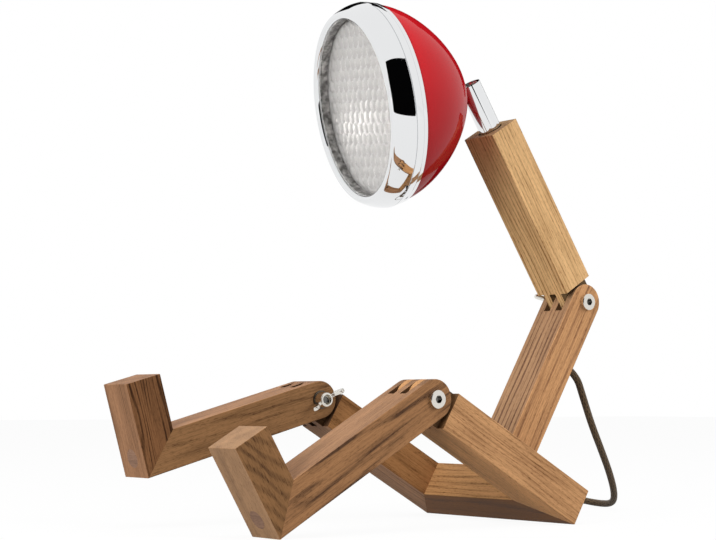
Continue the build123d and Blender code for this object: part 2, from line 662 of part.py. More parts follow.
coil_width = CORD_D * COIL_ROWS
coil_section = Pos(COIL_ACROSS / 2, coil_width / 2) * RectangleRounded(coil_width, coil_width, CORD_D / 2)
coil_middle = hip_place(COIL_AT[0], COIL_AT[1], 0)
parts["cord_coil"] = Pos(coil_middle) * revolve(Plane.XZ * coil_section, Axis.Z)
print("coil turns", COIL_ROWS**2, "length", round(COIL_ROWS**2 * pi * COIL_ACROSS))

# The switch lies along its own X axis, its cable entries at both ends.
switch_frame = Plane(origin=Vector(switch_start.X, switch_start.Y, 0), x_dir=switch_dir, z_dir=(0, 0, 1))
body_start = SWITCH_NECK_L
body_end = SWITCH_NECK_L + SWITCH_L
outline = Pos((body_start + body_end) / 2, 0) * RectangleRounded(SWITCH_L, SWITCH_W, SWITCH_CORNER_R)
switch_base = extrude(outline, amount=SWITCH_BASE_H)
switch_base = fillet(switch_base.edges().group_by(Axis.Z)[0], SWITCH_BASE_FILLET)
switch_cover = Pos(0, 0, SWITCH_BASE_H) * extrude(outline, amount=SWITCH_H - SWITCH_BASE_H)
switch_cover = fillet(switch_cover.edges().group_by(Axis.Z)[-1], SWITCH_TOP_FILLET)
neck = Pos(0, 0, SWITCH_AXIS_Z) * rod_x(SWITCH_NECK_D, 0, body_end + SWITCH_NECK_L)
switch_cover += neck
switch_cover -= slab((0, body_end + SWITCH_NECK_L), (-SWITCH_W, SWITCH_W), (-1, SWITCH_BASE_H))
lower_necks = neck & slab((0, body_end + SWITCH_NECK_L), (-SWITCH_W, SWITCH_W), (0, SWITCH_BASE_H))
switch_base += lower_necks
rocker_x = (body_start + body_end) / 2
well_depth = SWITCH_BASE_H
well = slab(
    (rocker_x - ROCKER_L / 2 - ROCKER_GAP, rocker_x + ROCKER_L / 2 + ROCKER_GAP),
    (-ROCKER_W / 2 - ROCKER_GAP, ROCKER_W / 2 + ROCKER_GAP),
    (well_depth, SWITCH_H + 1),
)
rocker_axis_z = SWITCH_H - ROCKER_AXIS_DOWN
pin_half = ROCKER_W / 2 + ROCKER_PIN_HOLE
pin_hole = Pos(rocker_x, 0, rocker_axis_z) * Rot(90, 0, 0) * rod(
    ROCKER_PIN_D + 2 * BOLT_CLEARANCE, -pin_half, pin_half
)
place("switch_cover", switch_cover - well - pin_hole, switch_frame)
place("switch_base", switch_base, switch_frame)
rocker_profile = Plane.XZ * make_face(
    [
        Line((-ROCKER_L / 2, -ROCKER_BELOW), (ROCKER_L / 2, -ROCKER_BELOW)),
        Line((ROCKER_L / 2, -ROCKER_BELOW), (ROCKER_L / 2, ROCKER_ENDS)),
        ThreePointArc((ROCKER_L / 2, ROCKER_ENDS), (0, ROCKER_HOLLOW), (-ROCKER_L / 2, ROCKER_ENDS)),
        Line((-ROCKER_L / 2, ROCKER_ENDS), (-ROCKER_L / 2, -ROCKER_BELOW)),
    ]
)
rocker_swing = extrude(Plane.XZ * Circle(ROCKER_L / 2), amount=ROCKER_W, both=True)
rocker = extrude(rocker_profile, amount=ROCKER_W / 2, both=True) & rocker_swing
rocker += Rot(90, 0, 0) * rod(ROCKER_PIN_D, -ROCKER_W / 2 - ROCKER_PIN_L, ROCKER_W / 2 + ROCKER_PIN_L)
rocker = Rot(0, -ROCKER_TILT, 0) * rocker
place("switch_rocker", Pos(rocker_x, 0, rocker_axis_z) * rocker, switch_frame)

# The plug lies flat, its cable end at its own origin and its pins along X.
plug_frame = Plane(origin=Vector(plug_start.X, plug_start.Y, 0), x_dir=plug_dir, z_dir=(0, 0, 1))
plug_nose = PLUG_TAIL_L + PLUG_BODY_L
plug_shoulder = PLUG_TAIL_L + PLUG_BODY_L * PLUG_SHOULDER
plug_outline = make_face(
    Polyline(
        (PLUG_TAIL_L, -PLUG_REAR_W / 2),
        (plug_shoulder, -PLUG_BODY_W / 2),
        (plug_nose, -PLUG_BODY_W / 2 + PLUG_NOSE_TAPER),
        (plug_nose, PLUG_BODY_W / 2 - PLUG_NOSE_TAPER),
        (plug_shoulder, PLUG_BODY_W / 2),
        (PLUG_TAIL_L, PLUG_REAR_W / 2),
        close=True,
    )
)
plug_body = extrude(plug_outline, amount=PLUG_BODY_H)
plug_body = fillet(plug_body.edges().filter_by(Axis.Z), PLUG_CORNER_R)
plug_body = fillet(plug_body.edges().group_by(Axis.Z)[0] + plug_body.edges().group_by(Axis.Z)[-1], PLUG_EDGE_R)
upright = (Align.CENTER, Align.CENTER, Align.MIN)
tail = Cone(PLUG_TAIL_D[0] / 2, PLUG_TAIL_D[1] / 2, PLUG_TAIL_L + 1, align=upright)
plug_body += Pos(0, 0, PLUG_BODY_H / 2) * Rot(0, 90, 0) * tail
plug_pins = []
for y in (-PIN_SPACING / 2, PIN_SPACING / 2):
    seat = Pos(plug_nose, y, PLUG_BODY_H / 2)
    plug_body -= seat * rod_x(PIN_TANG_D + 2 * GLUE_GAP, -PIN_TANG_L - 10 * GLUE_GAP, 1)
    pin = seat * rod_x(PIN_D, 0, PIN_L)
    pin = fillet(pin.edges().sort_by(Axis.X)[-1], PIN_END_R)
    plug_pins.append(pin + seat * rod_x(PIN_TANG_D, -PIN_TANG_L, 1))
place("plug_body", plug_body, plug_frame)
parts["plug_pins"] = Compound(children=[plug_frame.location * pin for pin in plug_pins])

os.makedirs("parts", exist_ok=True)
for name, solid in parts.items():
    export_step(solid, f"parts/{name}.step")
print(len(parts), "pieces")
print("knee", knee_mid, "waist", waist_mid, "neck end", neck_end, "tilt", tilt_mid)
print("neck axis", neck_frame.z_dir, "tilt axis", tilt_dir, "head axis", head_ahead)
print("switch", switch_start, switch_end, "rocker axis", switch_frame.y_dir)
print("left sole", shin_frame[1].from_local_coords((0, FOOT_L / 2 - HALF_T, SHIN_L)), shin_frame[1].z_dir)
print("right sole", shin_frame[-1].from_local_coords((0, FOOT_L / 2 - HALF_T, SHIN_L)), shin_frame[-1].z_dir)
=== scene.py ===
import json
import math

import bpy
import numpy as np
from mathutils import Matrix, Vector


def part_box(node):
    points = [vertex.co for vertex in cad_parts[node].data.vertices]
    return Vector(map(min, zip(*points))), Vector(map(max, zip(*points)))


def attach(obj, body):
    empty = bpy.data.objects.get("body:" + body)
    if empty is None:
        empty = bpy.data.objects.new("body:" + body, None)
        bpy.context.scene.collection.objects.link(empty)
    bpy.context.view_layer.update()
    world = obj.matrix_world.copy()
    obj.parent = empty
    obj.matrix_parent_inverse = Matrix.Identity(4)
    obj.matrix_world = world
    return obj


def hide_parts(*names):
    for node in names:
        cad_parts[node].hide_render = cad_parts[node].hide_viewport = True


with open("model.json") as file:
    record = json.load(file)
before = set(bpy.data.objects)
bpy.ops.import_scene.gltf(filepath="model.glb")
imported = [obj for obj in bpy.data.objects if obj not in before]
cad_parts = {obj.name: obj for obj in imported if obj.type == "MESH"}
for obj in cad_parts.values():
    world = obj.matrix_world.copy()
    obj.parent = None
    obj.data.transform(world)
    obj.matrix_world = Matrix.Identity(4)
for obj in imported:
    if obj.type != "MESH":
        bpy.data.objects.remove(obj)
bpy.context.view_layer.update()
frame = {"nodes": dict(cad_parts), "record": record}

MM = 0.001
joints = {joint["name"]: joint for joint in frame["record"]["behaviour"]["joints"]}
nodes = frame["nodes"]
BASE = "hips_and_lower_torso"
HEAD = "head"
# %% [markdown]
# ## Camera
#
# The camera stands low, to the lamp's left and ahead of it, and looks slightly up. A long
# lens keeps the bars nearly parallel. It is placed by its turn about the vertical and its
# rise above the horizontal, because those two angles say more than a rotation matrix.
# %% Camera
CAMERA_AT = (0.88463, -0.65909, 0.07124)
CAMERA_TURN = 54.374    # degrees from looking along +Y
CAMERA_RISE = 4.059     # degrees above the horizontal
LENS_MM = 93.65
SENSOR_MM = 36.0

view = bpy.data.cameras.new("view")
view.lens = LENS_MM
view.sensor_width = SENSOR_MM
camera = bpy.data.objects.new("camera", view)
camera.location = CAMERA_AT
camera.rotation_euler = (math.radians(90 + CAMERA_RISE), 0, math.radians(CAMERA_TURN))
bpy.context.scene.collection.objects.link(camera)
bpy.context.scene.camera = camera
bpy.context.scene.view_settings.view_transform = "Standard"
print("camera at", CAMERA_AT, "lens", LENS_MM, "mm")
# %% [markdown]
# ## Helpers for materials
#
# Colours are written as screen hex values, the way a colour picker gives them, and turned
# to linear light once. A second helper adds a node, sets it, links it and hands back the
# socket that the next node reads, so that a material reads as a list of its steps.
# %% Colour and node helpers


def linear(colour, paler=1.0):
    """An sRGB hex colour as linear red, green, blue and alpha, made paler by a factor."""
    parts = [int(colour[i:i + 2], 16) / 255 for i in (0, 2, 4)]
    light = [c / 12.92 if c <= 0.04045 else ((c + 0.055) / 1.055) ** 2.4 for c in parts]
    return (*(min(1.0, c * paler) for c in light), 1.0)


def add(tree, kind, inputs=(), out=0, stops=(), **settings):
    """Adds a shader node and hands back one of its output sockets, or all for out=None.

    inputs are given by name or in order: a socket is linked, any other value is set.
    stops are the (place, linear colour) pairs of a colour ramp.
    """
    made = tree.nodes.new("ShaderNode" + kind)
    for key, value in settings.items():
        setattr(made, key, value)
    for key, value in inputs.items() if isinstance(inputs, dict) else enumerate(inputs):
        if isinstance(value, bpy.types.NodeSocket):
            tree.links.new(value, made.inputs[key])
        else:
            made.inputs[key].default_value = value
    if stops:
        elements = made.color_ramp.elements
        for _ in stops[len(elements):]:
            elements.new(0.5)
        for element, (place, colour) in zip(elements, stops):
            element.position = place
            element.color = colour
    return made.outputs if out is None else made.outputs[out]


def new_material(name):
    """An empty material and its node tree."""
    material = bpy.data.materials.new(name)
    material.use_nodes = True
    material.node_tree.nodes.clear()
    return material, material.node_tree


def dress(material, *names):
    """Gives CAD nodes a material through their slots."""
    for name in names:
        slots = nodes[name].material_slots
        if not slots:
            nodes[name].data.materials.append(material)
        for slot in slots:
            slot.material = material
    print(material.name, "on", *names)


print("screen grey 808080 is", round(linear("808080")[0], 3), "of white in linear light")
# %% [markdown]
# ## Floor, world and lamps
#
# The lamp sits in a white studio. The floor and the world look white to the eye, to
# mirrors and through glass, but light the wood much less than white would, so that its
# undersides and slots stay dark. The floor keeps part of its plain shading, which is what
# holds the soft contact shadow. One large lamp above, one in front and one at the side
# give the bars their lit and shaded faces.
# %% Studio
WHITE = "ffffff"
FLOOR_HALF = 6.0        # half the side of the square floor, in metres
FLOOR_SEEN = "fbfbfa"
FLOOR_AS_LIGHT = "7d7b78"
FLOOR_SELF_LIT = 0.94
WORLD_LIGHT = 0.50


def seen_directly(tree):
    """1 for rays that show the surface as itself: camera, mirror and glass rays."""
    path = add(tree, "LightPath", out=None)
    either = add(tree, "Math", [path["Is Camera Ray"], path["Is Glossy Ray"]], operation="MAXIMUM")
    return add(tree, "Math", [either, path["Is Transmission Ray"]], operation="MAXIMUM")


def stage_board(name, corners, material):
    """A flat board of the studio, which is no part of the lamp."""
    mesh = bpy.data.meshes.new(name)
    mesh.from_pydata(corners, [], [(0, 1, 2, 3)])
    mesh.materials.append(material)
    board = bpy.data.objects.new(name, mesh)
    bpy.context.scene.collection.objects.link(board)
    return board


def studio_floor():
    """A pale matt floor that is mostly its own white where it is looked at."""
    material, tree = new_material("matt_white_floor")
    seen = seen_directly(tree)
    two = {"Factor": seen, "A": linear(FLOOR_AS_LIGHT), "B": linear(FLOOR_SEEN)}
    plain = add(tree, "BsdfDiffuse", [add(tree, "Mix", two, "Result", data_type="RGBA")])
    own_light = add(tree, "Emission", [linear(WHITE), 1.0])
    share = add(tree, "Math", [seen, FLOOR_SELF_LIT], operation="MULTIPLY")
    mixed = add(tree, "MixShader", [share, plain, own_light])
    add(tree, "OutputMaterial", [mixed], out=None)
    corners = [(x * FLOOR_HALF, y * FLOOR_HALF, 0) for x, y in ((-1, -1), (1, -1), (1, 1), (-1, 1))]
    stage_board("floor", corners, material)


def studio_world():
    """White where it is looked at, and dimmer as a light."""
    world = bpy.data.worlds.new("studio")
    bpy.context.scene.world = world
    world.use_nodes = True
    tree = world.node_tree
    tree.nodes.clear()
    strength = add(tree, "MapRange", {"Value": seen_directly(tree), "To Min": WORLD_LIGHT})
    sky = add(tree, "Background", [linear(WHITE), strength])
    add(tree, "OutputWorld", [sky], out=None)


def soft_lamp(name, place, aim, size, watts):
    """A square area lamp that points at a place."""
    light = bpy.data.lights.new(name, "AREA")
    light.size = size
    light.energy = watts
    lamp = bpy.data.objects.new(name, light)
    lamp.location = place
    lamp.rotation_euler = (Vector(aim) - Vector(place)).to_track_quat("-Z", "Y").to_euler()
    bpy.context.scene.collection.objects.link(lamp)
    lamp.visible_glossy = False
    print(name, "of", watts, "W at", place)


studio_floor()
studio_world()
soft_lamp("lamp_above", (0.4, -0.2, 1.8), aim=(0, 0, 0.1), size=1.2, watts=11)
soft_lamp("lamp_front", (0.5, -1.6, 0.42), aim=(0, 0, 0.15), size=0.8, watts=20)
soft_lamp("lamp_side", (1.6, 0.5, 0.7), aim=(0, 0, 0.14), size=0.9, watts=12)
# %% [markdown]
# ## Dark boards for the mirrors
#
# A mirror in an all-white room has no shape. Product studios stand black boards round a
# chromed thing for that reason. Here five of them stand where the bezel and the bowl look:
# one in front, a low one behind, and three higher ones side by side, behind the lamp and
# to its right. Only mirror rays meet them, so they take no light.
# %% Dark boards
HEAD_AT = (0.040, -0.025, 0.250)


def board_paint():
    """Matt black paint."""
    material, tree = new_material("matt_black_board_paint")
    add(tree, "OutputMaterial", [add(tree, "BsdfDiffuse", [linear("0b0b0c")])], out=None)
    return material


def dark_board(name, turn, low, high, spread, distance):
    """A black board, square to the level line from the head to its middle, for mirrors only.

    All but the distance, in metres, are degrees seen from the head: its turn from +Y
    towards +X, how far it spreads to each side, its low edge, and the high edge at each end.
    """
    out = np.array([math.sin(math.radians(turn)), math.cos(math.radians(turn)), 0])
    across = np.array([out[1], -out[0], 0]) * distance * math.tan(math.radians(spread))
    middle = np.array(HEAD_AT) + out * distance
    corners = []
    for end, rise in ((-1, low), (1, low), (1, high[1]), (-1, high[0])):
        up = (0, 0, distance * math.tan(math.radians(rise)))
        corners.append(middle + end * across + up)
    board = stage_board(name, corners, black_paint)
    board.visible_camera = False
    board.visible_diffuse = False
    board.visible_transmission = False
    board.visible_shadow = False
    print(name, distance, "m from the head")


black_paint = board_paint()
dark_board("board_front", turn=119, low=-24, high=(45, 35), spread=31, distance=0.55)
dark_board("board_back", turn=-29, low=-15, high=(4, 4), spread=15, distance=0.85)
dark_board("board_far", turn=-46, low=12, high=(44, 44), spread=10, distance=0.90)
dark_board("board_high", turn=-64, low=24, high=(40, 40), spread=12, distance=1.10)
dark_board("board_edge", turn=-34, low=10, high=(42, 38), spread=7, distance=0.95)
# %% [markdown]
# ## The cord
#
# A textile cord leaves the back of the lower torso, drops in one loose curve to the table
# and runs to a switch. Behind the hips it is put away as a neat coil of nine turns, three
# wide and three high, and ends in its plug. Each stretch is one smooth spline through the
# same places that the solid cord has. Its surface is a tube of rings along that spline,
# with a map that runs round and along it, because the braid has to follow the cord.
# %% Cord sizes and routes
CORD_D = 4.5 * MM
HIP_Y = 79.788      # middle of the hips' back edge, behind the origin, mm
REST_Z = 2.25       # middle of a cord that lies on the table, mm
TORSO_RISE = 59.7   # of the lower torso above the horizontal, degrees
SWITCH_TURN = 194.0
SWITCH_LONG = 70.0  # with both cable entries, mm


def hip_place(x, y, z):
    """A place measured from the middle of the hips' back edge, in mm."""
    return np.array([x, y + HIP_Y, z])


switch_turn = math.radians(SWITCH_TURN)
switch_dir = np.array([math.cos(switch_turn), math.sin(switch_turn), 0])
switch_start = hip_place(-88.0, 127.5, 7.5)
switch_end = switch_start + switch_dir * SWITCH_LONG
torso_rise = math.radians(TORSO_RISE)
gland_dir = np.array([0, math.sin(torso_rise), -math.cos(torso_rise)])
gland_face = hip_place(0, 53.34, 96.2)
plug_start = hip_place(-68.0, 45.5, 6.85)

hanging_route = [
    gland_face + gland_dir * 1.0,
    gland_face + gland_dir * 14.5,
    hip_place(-1.0, 72.4, 75.0),
    hip_place(-4.5, 82.7, 57.5),
    hip_place(-10.0, 96.3, 40.5),
    hip_place(-17.0, 110.2, 25.0),
    hip_place(-25.5, 122.5, 11.5),
    hip_place(-37.0, 132.0, 3.8),
    hip_place(-52.0, 135.4, REST_Z + 0.2),
    switch_start - switch_dir * 17.0 - [0, 0, 2.6],
    switch_start + switch_dir * 3.0,
]
print("hanging route", len(hanging_route), "points")
# %% [markdown]
# The coil's turns climb through a square of nine places: along the bottom row, up the
# inner column, down the middle one and up the outer one, so each turn lies beside or on
# the one before it. Two dozen points a turn keep it round.
# %% Coil
COIL_AT = (-100.0, 78.0)
COIL_MIDDLE_R = 25.0
PITCH = 4.5             # between neighbouring turns, mm
ENTRY_ANGLE = 252.0     # where the cord meets the coil, degrees from +X
TURN_POINTS = 24
CLIMB_SHARE = 0.2       # of a turn, its last part, in which it moves to the next place
TURN_PLACES = [(1, 0), (0, 0), (-1, 0), (-1, 1), (-1, 2), (0, 2), (0, 1), (1, 1), (1, 2)]


def coil_route():
    """Angle grows evenly; radius and height step to the next place late in each turn."""
    turns = len(TURN_PLACES)
    step = np.arange(turns * TURN_POINTS) / TURN_POINTS
    place = np.array(TURN_PLACES + TURN_PLACES[-1:], dtype=float)
    whole = step.astype(int)
    share = np.clip((step - whole - (1 - CLIMB_SHARE)) / CLIMB_SHARE, 0, 1)
    share = share * share * (3 - 2 * share)
    now = place[whole] * (1 - share)[:, None] + place[whole + 1] * share[:, None]
    angle = np.radians(ENTRY_ANGLE) + step * 2 * np.pi
    radius = COIL_MIDDLE_R + PITCH * now[:, 0]
    middle = hip_place(COIL_AT[0], COIL_AT[1], REST_Z)
    return [
        middle + [r * math.cos(a), r * math.sin(a), PITCH * layer]
        for r, a, layer in zip(radius, angle, now[:, 1])
    ]


stored_route = [
    switch_end - switch_dir * 3.0,
    switch_end + switch_dir * 14.0 - [0, 0, 2.4],
    hip_place(-176.0, 95.5, REST_Z + 0.4),
    hip_place(-176.5, 79.0, REST_Z),
    hip_place(-166.5, 64.0, REST_Z),
    hip_place(-149.0, 54.5, REST_Z + 0.1),
    hip_place(-129.0, 50.6, REST_Z),
    hip_place(-117.5, 50.8, REST_Z),
    *coil_route(),
    hip_place(-103.5, 47.9, 11.0),
    hip_place(-93.0, 45.0, 10.2),
    hip_place(-80.0, 44.6, 7.8),
    plug_start + [2.0, -0.35, 0],
]
print("stored route", len(stored_route), "points")
# %% [markdown]
# ## From a route to a smooth line
#
# Blender's own spline works out the smooth line. A NURBS curve of order 3 keeps inside the
# corners of its route, so a cord that lies on the table stays on it, and it never swings
# out between two points as a curve through them would.
# %% Smooth line


def smooth_line(route, detail):
    """Points along an order 3 NURBS spline whose control points are the route's, in mm."""
    curve = bpy.data.curves.new("line", "CURVE")
    curve.dimensions = "3D"
    spline = curve.splines.new("NURBS")
    spline.points.add(len(route) - 1)
    for point, place in zip(spline.points, route):
        point.co = (*(np.array(place) * MM), 1)
    spline.order_u = 3
    spline.use_endpoint_u = True
    spline.resolution_u = detail
    bare = bpy.data.objects.new("line", curve)
    mesh = bpy.data.meshes.new_from_object(bare)
    points = np.empty(len(mesh.vertices) * 3, dtype=np.float32)
    mesh.vertices.foreach_get("co", points)
    bpy.data.meshes.remove(mesh)
    bpy.data.curves.remove(curve)
    return points.reshape(-1, 3).astype(float)


hanging_line = smooth_line(hanging_route, detail=12)
stored_line = smooth_line(stored_route, detail=6)
print("smooth lines of", len(hanging_line), "and", len(stored_line), "points")
# %% [markdown]
# ## Grids and pieces
#
# Every new surface below is a grid of places, worked out as one array. One function turns
# such a grid into a mesh, and another makes that mesh a piece of the lamp: it rides on a
# body, has a paint slot and may stand for solids of the frame.
# %% Mesh from a grid, and a finished piece


def grid_mesh(name, points, closed=False, uv=None, flip=False):
    """A mesh from a grid of places, rows along v and columns along u, closed both ways or open."""
    rows, columns = points.shape[:2]
    open_by = 0 if closed else 1
    v = np.arange(rows - open_by)[:, None]
    u = np.arange(columns - open_by)[None, :]
    row, next_row, next_u = v * columns, (v + 1) % rows * columns, (u + 1) % columns
    corners = np.stack([row + u, row + next_u, next_row + next_u, next_row + u], axis=-1)
    if flip:
        corners = corners[..., ::-1]
    faces = corners.reshape(-1, 4)
    mesh = bpy.data.meshes.new(name)
    mesh.from_pydata(points.reshape(-1, 3), [], faces)
    if uv is not None:
        layer = mesh.uv_layers.new(name="along")
        layer.data.foreach_set("uv", uv.reshape(-1, 2)[faces.ravel()].astype(np.float32).ravel())
    mesh.shade_smooth()
    return mesh


def add_piece(name, mesh, material, body, replaced=()):
    """A finished piece: its material, the body it rides on and the solids it stands for."""
    mesh.materials.append(material)
    piece = bpy.data.objects.new(name, mesh)
    bpy.context.scene.collection.objects.link(piece)
    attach(piece, body)
    if replaced:
        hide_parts(*replaced)
    print(name, "of", len(mesh.polygons), "faces rides on", body)
    return piece


# %% [markdown]
# ## A tube with a map round it
#
# The tube's rings are set square to the smooth line: one arm points sideways, level with
# the table, and the other is square to that arm and to the line. The line is never upright,
# so those arms never flip. The map counts once round the cord and in metres along it.
# %% Tube


def unit_rows(rows):
    """Each row of an array at length 1."""
    return rows / np.linalg.norm(rows, axis=-1, keepdims=True)


def tube_mesh(name, line, radius, sides):
    """Rings square to a line: place + radius (cos a side + sin a up), ends closed."""
    along = unit_rows(np.gradient(line, axis=0))
    side = unit_rows(np.cross(along, [0, 0, 1]))
    up = np.cross(side, along)
    angle = np.linspace(0, 2 * np.pi, sides + 1)[:, None]
    ring = np.cos(angle) * side[:, None] + np.sin(angle) * up[:, None]
    run = np.concatenate([[0], np.cumsum(np.linalg.norm(np.diff(line, axis=0), axis=1))])
    uv = np.stack(np.broadcast_arrays(angle.T / (2 * np.pi), run[:, None]), axis=-1)
    first, last = (np.broadcast_to(line[end], (1, sides + 1, 3)) for end in (0, -1))
    points = np.concatenate([first, line[:, None] + radius * ring, last])
    mesh = grid_mesh(name, points, uv=np.concatenate([uv[:1], uv, uv[-1:]]))
    print(name, "length", round(float(run[-1]), 4))
    return mesh, float(run[-1])


hanging_mesh, hanging_long = tube_mesh("cord_to_switch", hanging_line, CORD_D / 2, sides=20)
stored_mesh, stored_long = tube_mesh("cord_to_plug", stored_line, CORD_D / 2, sides=14)
# %% [markdown]
# ## Braided cotton cover
#
# The cord's cover is cotton yarn braided over the cores: two sets of strands cross and
# pass over and under each other. Two slanted waves on the cord's own map give the strands,
# and a fine noise makes some of the yarn paler, as dyed yarn is. A real strand is 0.4 mm
# wide; it is drawn at 0.9 mm so that it still shows.
# %% Cord material
STRANDS_ROUND = 8       # pairs of strands round the cord
BRAID_RISE = 5.5 * MM   # along the cord for one strand to pass its neighbour
BRAID_VALLEY = -0.2     # where in the waves the gaps between strands are cut off flat
YARN_MM = 1.111
YARN_SHARE = 0.3        # of the colour's change, against the strands' height


def blotches(tree, size_mm, detail=3.0):
    """Noise in the model's own space, in blotches of a real size."""
    where = add(tree, "TexCoord", out="Object")
    size = {"Vector": where, "Scale": 1 / (size_mm * MM), "Detail": detail}
    return add(tree, "TexNoise", size, out="Fac")


def braided_cotton():
    """Brown braid: height = the higher of two crossing sine waves on the cord's map."""
    material, tree = new_material("braided_brown_cotton")
    place = add(tree, "UVMap", uv_map="along")
    split = add(tree, "SeparateXYZ", [place], out=None)
    around = add(tree, "Math", [split["X"], 2 * math.pi * STRANDS_ROUND], operation="MULTIPLY")
    rise = add(tree, "Math", [split["Y"], 2 * math.pi / BRAID_RISE], operation="MULTIPLY")
    waves = []
    for direction in ("ADD", "SUBTRACT"):
        phase = add(tree, "Math", [around, rise], operation=direction)
        waves.append(add(tree, "Math", [phase], operation="SINE"))
    top = add(tree, "Math", waves, operation="MAXIMUM")
    height = add(tree, "MapRange", {"Value": top, "From Min": BRAID_VALLEY, "From Max": 1.0})
    # The colour follows the strands' height, so the gaps between strands are darker: painted shade.
    tone = add(tree, "Math", [height, 1 - YARN_SHARE], operation="MULTIPLY")
    yarn = blotches(tree, YARN_MM)
    tone = add(tree, "Math", [yarn, YARN_SHARE, tone], operation="MULTIPLY_ADD")
    shader = add(tree, "BsdfPrincipled", {
        "Base Color": add(tree, "ValToRGB", [tone], stops=[
            (0.15, linear("3a2c1c")), (0.55, linear("5f4b33")), (0.95, linear("725c40")),
        ]),
        "Roughness": 0.85,
        "Sheen Weight": 0.25,
        "Sheen Roughness": 0.5,
        "Normal": add(tree, "Bump", {"Height": height, "Strength": 0.6, "Distance": 0.3 * MM}),
    })
    add(tree, "OutputMaterial", [shader], out=None)
    return material


cotton = braided_cotton()
print(cotton.name, "of", len(cotton.node_tree.nodes), "nodes")
# %% [markdown]
# The two stretches of cord become pieces of their own, and each stands for the solid parts
# of the cord that it replaces.
# %% Cord pieces
hanging_cord = add_piece(
    "cord_to_switch", hanging_mesh, cotton, BASE,
    ["cord_hanging"],
)
stored_cord = add_piece(
    "cord_to_plug", stored_mesh, cotton, BASE,
    ["cord_middle", "cord_coil", "cord_plug_end"],
)
print("cord in all", round(hanging_long + stored_long + SWITCH_LONG * MM, 3), "m with the switch")
# %% [markdown]
# ## Growth lines, fibres and pores
#
# Every bar is sawn from an open-grained hardwood and oiled. Three things make it wood: thin
# growth lines that wander along the bar and come and go, fine fibre streaks, and pores that
# read as short dark dashes on the sides and as dots on a sawn end. All three are solid
# patterns, stretched along the bar's own grain, so they run through mitres and slots as
# real wood does.
# %% Wood patterns
FIBRE_MM = 0.7
PORE_MM = 0.4       # a real pore is about 0.2 mm; drawn wider so that it shows
BROAD_MM = 9.0      # broad bands of paler and deeper wood
BEND_MM = 26.0      # across the noise that bends the growth lines
BEND_BY_MM = 16.0   # how far it pushes them, at wander 1
FADE_MM = 5.0       # across the noise that lets them come and go


def grain_space(tree, grain, slant, seed):
    """A board's own frame: Z along the grain, turned about it by slant, moved by seed."""
    turn = Vector(grain).rotation_difference(Vector((0, 0, 1))).to_matrix()
    turn = (Matrix.Rotation(math.radians(slant), 3, "Z") @ turn).to_euler()
    where = add(tree, "TexCoord", out="Object")
    moved = (seed, seed * 0.7, seed * 1.3)      # uneven, so that no two boards line up
    return add(tree, "Mapping", {"Vector": where, "Rotation": turn, "Location": moved})


def streaks(tree, board, across_mm, ratio, detail):
    """Noise in streaks along the grain, of a given width and ratio times as long."""
    scale = 1 / (across_mm * MM)
    place = add(tree, "VectorMath", [board, (scale, scale, scale / ratio)], operation="MULTIPLY")
    return add(tree, "TexNoise", {"Vector": place, "Scale": 1.0, "Detail": detail}, out="Fac")


def growth_lines(tree, board, line_mm, wander, lean, line_from, fade):
    """Sine of the way across the board, pushed by slow noise, times noise that fades it."""
    bend = streaks(tree, board, BEND_MM, ratio=6.0, detail=2.0)
    split = add(tree, "SeparateXYZ", [board], out=None)
    tipped = add(tree, "Math", [split["Z"], lean, split["X"]], operation="MULTIPLY_ADD")
    push = BEND_BY_MM * MM * wander
    across = add(tree, "Math", [bend, push, tipped], operation="MULTIPLY_ADD")
    phase = add(tree, "Math", [across, 2 * math.pi / (line_mm * MM)], operation="MULTIPLY")
    sine = add(tree, "Math", [phase], operation="SINE")
    crest = {"Value": sine, "From Min": line_from, "From Max": 1.0}
    lines = add(tree, "MapRange", crest, interpolation_type="SMOOTHSTEP")
    stretch = streaks(tree, board, FADE_MM, ratio=9.0, detail=1.0)
    shown = add(tree, "MapRange", {"Value": stretch, "From Min": fade[0], "From Max": fade[1]})
    return add(tree, "Math", [lines, shown], operation="MULTIPLY")


print("a fibre is", FIBRE_MM, "mm wide and a pore", PORE_MM, "mm")
# %% [markdown]
# ## Tint of each face, partly painted light and shade
#
# Each face of a bar gets its own tint, told apart by the way it looks, which is its normal:
# the sides, the edges, an underside and a sawn end. The tint is partly the wood's own tone,
# which differs between the faces of a board, and partly painted light and shade, so that lit
# faces come out paler and shaded ones deeper. An underside's tint is painted shade, and a
# sawn end's is partly the end grain's own depth and partly painted shade.
# %% Faces and their tint
PLAIN = (1.0, 1.0, 1.0)
SIDE_FROM, SIDE_FULL = 0.3, 0.7         # of a normal along X, from an edge to a side
UNDER_FROM, UNDER_FULL = -0.55, -0.75   # of a normal along Z, from an edge to an underside
END_FROM = 0.7                          # of a normal along the grain, on a sawn end


def side_faces(tree):
    """1 where a face looks along X, 0 where it looks across, by the size of its normal's X."""
    x = add(tree, "SeparateXYZ", [add(tree, "TexCoord", out="Normal")], out="X")
    size = add(tree, "Math", [x], operation="ABSOLUTE")
    return add(tree, "MapRange", {"Value": size, "From Min": SIDE_FROM, "From Max": SIDE_FULL})


def end_faces(tree, grain):
    """1 on a sawn end, where the normal times the grain is large, and 0 elsewhere."""
    normal = add(tree, "TexCoord", out="Normal")
    along = add(tree, "VectorMath", [normal, grain], "Value", operation="DOT_PRODUCT")
    size = add(tree, "Math", [along], operation="ABSOLUTE")
    return add(tree, "Math", [size, END_FROM], operation="GREATER_THAN")


